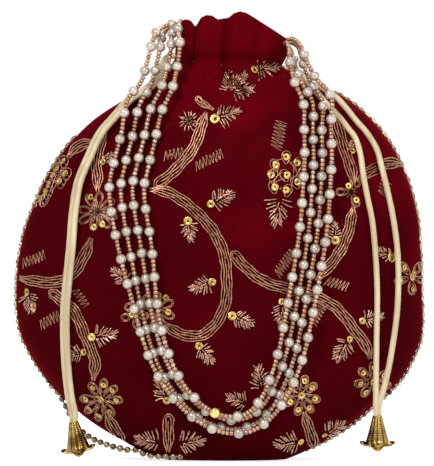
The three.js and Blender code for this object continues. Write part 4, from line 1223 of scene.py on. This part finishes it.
# Embroidery, placed by dots of the picture onto the velvet behind them
class Embroidery:
    def __init__(self, outer):
        self.tree = BVHTree.FromPolygons(outer, VELVET_FACES)

    def find(self, px, py):
        point, normal, _, _ = self.tree.ray_cast(EYE, sight(px, py))
        if point is None:
            return None
        return point, -normal if normal.y > 0 else normal

    # Lays a line of picture dots on the velvet and couches a coiled wire along it
    def wire(self, shape, dots, radius, lift=0.8, look=WIRE, step=1.3):
        stretch = []
        for x, y, _ in flat_line(dots, 10).every(step):
            found = self.find(x, y)
            if found is None:
                self.close(shape, stretch, radius, look)
                stretch = []
                continue
            point, normal = found
            stretch.append(point + normal * radius * lift)
        self.close(shape, stretch, radius, look)

    @staticmethod
    def close(shape, stretch, radius, look):
        if len(stretch) < 3:
            return
        radii = [radius * (1.1 if n % 2 else 0.86) for n in range(len(stretch))]
        radii[0] = radii[-1] = radius * 0.55
        add_tube(shape, [tuple(p) for p in stretch], radii, 5, look)

    def sequin(self, shape, px, py, size):
        found = self.find(px, py)
        if found is None:
            return
        point, normal = found
        tilt = Vector((chance.uniform(-1, 1), 0, chance.uniform(-1, 1))) * SEQUIN_TILT
        profile = [(height, size * DOT / 2 * share) for share, height in SEQUIN_RINGS]
        add_bead(shape, point, normal + tilt, profile, SEQUIN_SIDES, SEQUIN, True)

    # A band of wires side by side: two loops, one in the other, and a wire between
    def vine(self, shape, dots, loops=(False, False), pitch=2.5):
        line = flat_line(dots, 12)
        count = max(5, int(line.length / 3))
        for offset in (2 * pitch, pitch, 0):
            inset = 0 if offset else 3
            places = np.linspace(inset, line.length - inset, count)
            hands = (1, -1) if offset else (1,)
            sides = [self.beside(line, places, hand * offset, loops) for hand in hands]
            if loops[1] and offset:
                sides = [sides[0] + [self.tip(line, line.length, offset * 0.9)] + sides[1][::-1]]
            if loops[0] and offset:
                tip = self.tip(line, 0, -offset * 0.9)
                sides[0] = [tip] + sides[0]
                sides[-1] = sides[-1] + [tip] if len(sides) == 1 else [tip] + sides[-1]
            for bends in sides:
                self.wire(shape, bends, VINE_WIRE)

    @staticmethod
    def tip(line, place, reach):
        at, along = line.at(place), line.along(place)
        return at[0] + along[0] * reach, at[1] + along[1] * reach

    @staticmethod
    def beside(line, places, offset, loops):
        bends = []
        phase = chance.uniform(0, 6)
        for place in places:
            at, along = line.at(place), line.along(place)
            start = 1 if loops[0] else mix(0.3, 1, ease(0, 14, place))
            end = 1 if loops[1] else mix(0.3, 1, ease(0, 14, line.length - place))
            shift = offset * min(start, end) + 0.4 * math.sin(place * 0.33 + phase)
            shift += chance.uniform(-0.15, 0.15)
            bends.append((at[0] - along[1] * shift, at[1] + along[0] * shift))
        return bends

    def loop(self, shape, px, py, way, reach, width, radius=LOOP_WIRE):
        bends = []
        for n in range(13):
            turn = 2 * math.pi * n / 12
            long = reach * (0.5 - 0.5 * math.cos(turn))
            wide = width * math.sin(turn) * (0.45 + 0.55 * long / reach)
            bends.append(off(px, py, way, long, wide))
        self.wire(shape, bends, radius)

    # Double wire loops round a sequin each, and a sequin in the middle
    def flower(self, shape, px, py, petals, reach, turned=0.0, sequins=True):
        for n in range(petals):
            way = 2 * math.pi * n / petals + turned + chance.uniform(-0.08, 0.08)
            own = reach * chance.uniform(0.93, 1.06)
            x, y = off(px, py, way, 3)
            self.loop(shape, x, y, way, own, 5.0)
            self.loop(shape, *off(x, y, way, 3.4), way, own - 5, 3.6, INNER_WIRE)
            if sequins:
                self.sequin(shape, *off(px, py, way, own * 0.82), PETAL_SEQUIN)
        if sequins:
            self.sequin(shape, px, py, MIDDLE_SEQUIN)
        else:
            self.burst(shape, px, py, 2, 6.5, 9, DARK)

    # Short pieces of wire all round a middle
    def burst(self, shape, px, py, start, end, count, look=CHIP):
        for n in range(count):
            way = 2 * math.pi * n / count + chance.uniform(-0.12, 0.12)
            own = end * chance.uniform(0.85, 1.1)
            self.chip(shape, px, py, way, start, own, BURST_CHIP, look, 1.0 + 0.5 * (n % 2))

    # One short piece of cut wire
    def chip(self, shape, px, py, way, start, end, radius=CHIP_WIRE, look=CHIP, lift=1.0):
        bow = chance.uniform(-0.25, 0.25)
        bends = [off(px, py, -way - bow * (share - 0.5), mix(start, end, share)) for share in (0, 0.5, 1)]
        self.wire(shape, bends, radius, lift, look, 1.5)

    # A leaf of cut wire pieces that stand out on both sides of its stem, with a sequin at its foot
    def spray(self, shape, px, py, heading, size, sequin):
        way = math.radians(heading)
        size *= 1.1
        rows = 6 if size < 21 else 8
        for row in range(rows):
            share = row / (rows - 1)
            x, y = off(px, py, -way, size * mix(0.1, 0.7, share))
            long = size * mix(0.46, 0.34, share)
            for hand in (-1, 1):
                turn = way + hand * (mix(1.25, 0.42, share) + chance.uniform(-0.14, 0.14))
                own = long * chance.uniform(0.82, 1.12)
                radius = chance.uniform(0.42, 0.54)
                self.chip(shape, x, y, turn, 0.18 * long, own, radius, lift=1.0 + 0.6 * (row % 2))
            if row % 2:
                turn = way + chance.uniform(-0.3, 0.3)
                self.chip(shape, x, y, turn, 0.05 * long, 0.8 * long, THIN_CHIP, lift=1.9)
        self.chip(shape, px, py, way, 0.76 * size, 1.05 * size)
        if sequin:
            self.sequin(shape, px, py, sequin)

    def zigzag(self, shape, px, py, heading, length, width):
        way = math.radians(heading)
        bends = []
        count = 2 * int(length / 3.4) + 1
        for n in range(count):
            wide = (0.5 if n % 2 else -0.5) * width * chance.uniform(0.85, 1.1)
            long = (n / (count - 1) - 0.5) * length + 0.25 * wide
            bends.append(off(px, py, -way, long, -wide))
        self.wire(shape, bends, ZIGZAG_WIRE)


# Vines of couched wire as lines of picture dots, with which ends are looped and how far apart the wires lie
VINES = [
    ([(206, 112), (203, 121), (194, 147), (182, 163), (169, 176), (158, 184)], (False, True)),
    ([(149, 190), (165, 191.5), (180, 199), (194, 210), (208, 224), (218, 239), (225, 259), (226.5, 277),
      (226, 300), (222, 313), (214, 326), (202, 335), (189, 336), (174, 331), (164, 322)],),
    ([(234, 255), (241, 263), (254, 275), (268, 283), (285, 288), (300, 292), (313, 296), (325, 301),
      (337, 309), (349, 323), (358, 335), (366, 346), (370, 359)], (True, False)),
    ([(331, 108), (335, 120), (341.5, 141), (347, 158), (352, 174), (353, 186)],),
    ([(353, 206), (349, 228), (343, 245), (334.5, 259), (325, 270), (316, 281)],),
    ([(404, 166), (396, 163.5), (386, 164), (376, 168.5), (366, 174), (357, 182)],),
    ([(97, 146), (88, 144), (80, 146), (74, 151), (69, 158)],),
    ([(106, 133), (100, 147), (96.5, 161), (97.6, 176), (98, 192)],),
    ([(20, 278), (32, 280.5), (43, 282), (54, 282.5), (66, 279), (76, 270), (84, 257), (92, 238)],),
    ([(53, 293), (60, 299), (71, 307), (79, 320), (84, 333), (90, 347), (95, 360), (95, 370), (93, 381)],
     (True, False)),
    ([(106, 411), (110, 420), (115, 429), (121, 438)], (False, True)),
    ([(168.5, 452), (168.5, 436), (168.5, 418)], (False, True)),
    ([(304, 411), (306, 420), (310, 432), (313, 443)], (False, True)),
    ([(214, 110), (208, 107), (202, 103), (198, 99)], (False, True), 1.5),
    ([(226, 88), (232, 84), (240, 79), (248, 75)], (False, False), 1.7),
]
FLOWERS = [
    (97.6, 212, 8, 17, 0.2, False), (102, 399, 8, 18, 0.1), (156, 310, 7, 16, 0.4, False),
    (301, 395, 8, 17, 0.2), (351, 192, 3, 13, 1.1, False), (372, 381, 7, 16, 0.3),
    (411, 277, 5, 14, 0.3), (135, 314, 5, 11, 0.2, False),
]
BUNCH = [(286, 157), (276, 165), (271, 175), (287, 175), (275, 187), (286, 190), (297, 163), (298, 182)]
EDGE_BUNCH = [(64, 162), (58, 169), (66, 174), (54, 176), (60, 182), (50, 185), (47, 193), (42, 200)]
SPRAYS = [
    (229, 94, 94, 21, 0), (230, 94, 52, 25, 0), (230, 92, 8, 23, 0), (254, 70, 4, 23, 9),
    (215, 119, 18, 25, 10), (211, 204, 28, 24, 8), (188, 221, -82, 20, 9), (212, 282, 200, 22, 8),
    (128, 282, 140, 20, 0), (232, 316, -22, 22, 9), (199, 346, -50, 21, 8), (167, 400, 112, 22, 8),
    (161, 442, 172, 24, 0), (177, 443, 6, 26, 0), (262, 391, 98, 24, 0), (248, 404, 160, 22, 0),
    (280, 195, -97, 30, 0), (335, 240, 92, 17, 9), (391, 257, 150, 16, 10), (282, 302, -92, 23, 7),
    (362, 321, 15, 20, 7), (349, 339, 237, 24, 7), (300, 441, 188, 24, 7), (324, 434, 30, 22, 6),
    (92, 337, 8, 24, 8), (84, 352, 192, 20, 7), (28, 292, -75, 20, 8), (44, 198, 215, 13, 8),
    (103, 162, 40, 13, 7), (352, 151, 95, 10, 7),
]
BURSTS = [(189, 121), (97.6, 212)]
LOOSE_SEQUINS = [
    (91, 197), (110, 213), (94, 227), (103, 224), (348, 186), (356, 200), (413, 274), (166, 298),
    (168, 312), (132, 315),
]
ZIGZAGS = [
    (174, 154, 12, 20, 11), (209, 160, 25, 30, 11), (279, 135, 80, 28, 13), (285, 263, 55, 28, 11),
    (337, 284, -18, 22, 11), (384, 188, 70, 14, 12), (34, 259, 22, 24, 11), (81, 298, -55, 20, 9),
    (50, 320, 30, 22, 11), (318, 313, 60, 22, 11),
]


# Sequins with a wire loop over each and a wire from one to the next
def sew_bunch(sewing, shape, bunch):
    for (px, py), (next_x, next_y) in zip(bunch, bunch[1:] + bunch[:1]):
        sewing.sequin(shape, px, py, BUNCH_SEQUIN)
        sewing.loop(shape, px, py + 7, -math.pi / 2 + chance.uniform(-0.4, 0.4), 13, 5.6)
        middle = (mix(px, next_x, 0.5) + 2, mix(py, next_y, 0.5) - 2)
        sewing.wire(shape, [(px + 4, py + 3), middle, (next_x - 4, next_y - 3)], LINK_WIRE)


def make_embroidery(sewing):
    vines, flowers, sprays = Shape(), Shape(), Shape()
    for band in VINES:
        sewing.vine(vines, *band)
    for scribble in ZIGZAGS:
        sewing.zigzag(vines, *scribble)
    for flower in FLOWERS:
        sewing.flower(flowers, *flower)
    for bunch in (BUNCH, EDGE_BUNCH):
        sew_bunch(sewing, flowers, bunch)
    for spray in SPRAYS:
        sewing.spray(sprays, *spray)
    for px, py in LOOSE_SEQUINS:
        sewing.sequin(flowers, px, py, LOOSE_SEQUIN)
    for px, py in BURSTS:
        sewing.burst(sprays, px, py, 4.5, 11, 15)
        sewing.burst(sprays, px, py, 1, 5.5, 9, DARK)
    for name, shape, kind, count in (
        ("vine_wires", vines, "vine", 13),
        ("flower_loops", flowers, "flower", 8),
        ("spray_wires", sprays, "spray", 23),
    ):
        piece = shape.make(name, WIRE_GOLD, SEQUIN_GOLD, WIRE_DARK, CHIP_GOLD)
        declare(piece, "gold_wire", *[f"{kind}_{n + 1}" for n in range(count)])


# Studio: the world and the floor light the bag plainly, and are white where they are seen directly
WORLD_LIGHT = 0.28
FLOOR_GLOW = 0.8
FLOOR_SIZE = 12
FLOOR_HEIGHT = -0.0006
LAMP_AIM = Vector((0, 0, 0.11))
LAMPS = [
    ("key", (-0.6, -1.6, 1.5), 0.6, 28),
    ("fill", (1.3, -1.3, 0.6), 1.0, 8),
    ("back", (0.4, 1.3, 1.3), 0.8, 8),
]


def seen_directly(nodes, links):
    path = nodes.new("ShaderNodeLightPath")
    seen = path.outputs["Is Camera Ray"]
    for kind in ("Is Glossy Ray", "Is Transmission Ray"):
        seen = add_math(nodes, links, "MAXIMUM", seen, path.outputs[kind])
    strength = nodes.new("ShaderNodeMapRange")
    links.new(seen, strength.inputs["Value"])
    return strength


def make_studio():
    scene = bpy.context.scene
    scene.view_settings.view_transform = "Standard"
    world = bpy.data.worlds.new("studio")
    scene.world = world
    world.use_nodes = True
    nodes, links = world.node_tree.nodes, world.node_tree.links
    background = nodes["Background"]
    strength = seen_directly(nodes, links)
    set_inputs(background, {"Color": (1, 1, 1, 1)})
    set_inputs(strength, {"To Min": WORLD_LIGHT, "To Max": 1.0})
    links.new(strength.outputs["Result"], background.inputs["Strength"])

    bpy.ops.mesh.primitive_plane_add(size=FLOOR_SIZE, location=(0, 0, FLOOR_HEIGHT))
    floor = bpy.context.object
    floor.name = "floor"
    material, nodes, links, shader = new_material("pale_floor", (0.9, 0.9, 0.9), 0.9)
    white = nodes.new("ShaderNodeEmission")
    strength = seen_directly(nodes, links)
    set_inputs(strength, {"To Min": 0.0, "To Max": FLOOR_GLOW})
    links.new(strength.outputs["Result"], white.inputs["Strength"])
    both = nodes.new("ShaderNodeAddShader")
    links.new(shader.outputs[0], both.inputs[0])
    links.new(white.outputs[0], both.inputs[1])
    links.new(both.outputs[0], nodes["Material Output"].inputs["Surface"])
    floor.data.materials.append(material)

    for name, place, size, power in LAMPS:
        bpy.ops.object.light_add(type="AREA", location=place)
        lamp = bpy.context.object
        lamp.name = name
        lamp.data.size = size
        lamp.data.energy = power
        lamp.rotation_euler = (LAMP_AIM - Vector(place)).to_track_quat("-Z", "Y").to_euler()


set_camera()
make_drawstrings()
for strand in range(4):
    make_strand(strand)
front = make_panel("front_velvet", "front_panel", -1)
make_panel("back_velvet", "back_panel", 1)
make_casing()
sewing = Embroidery(front)
make_edging(sewing)
make_embroidery(sewing)
make_studio()
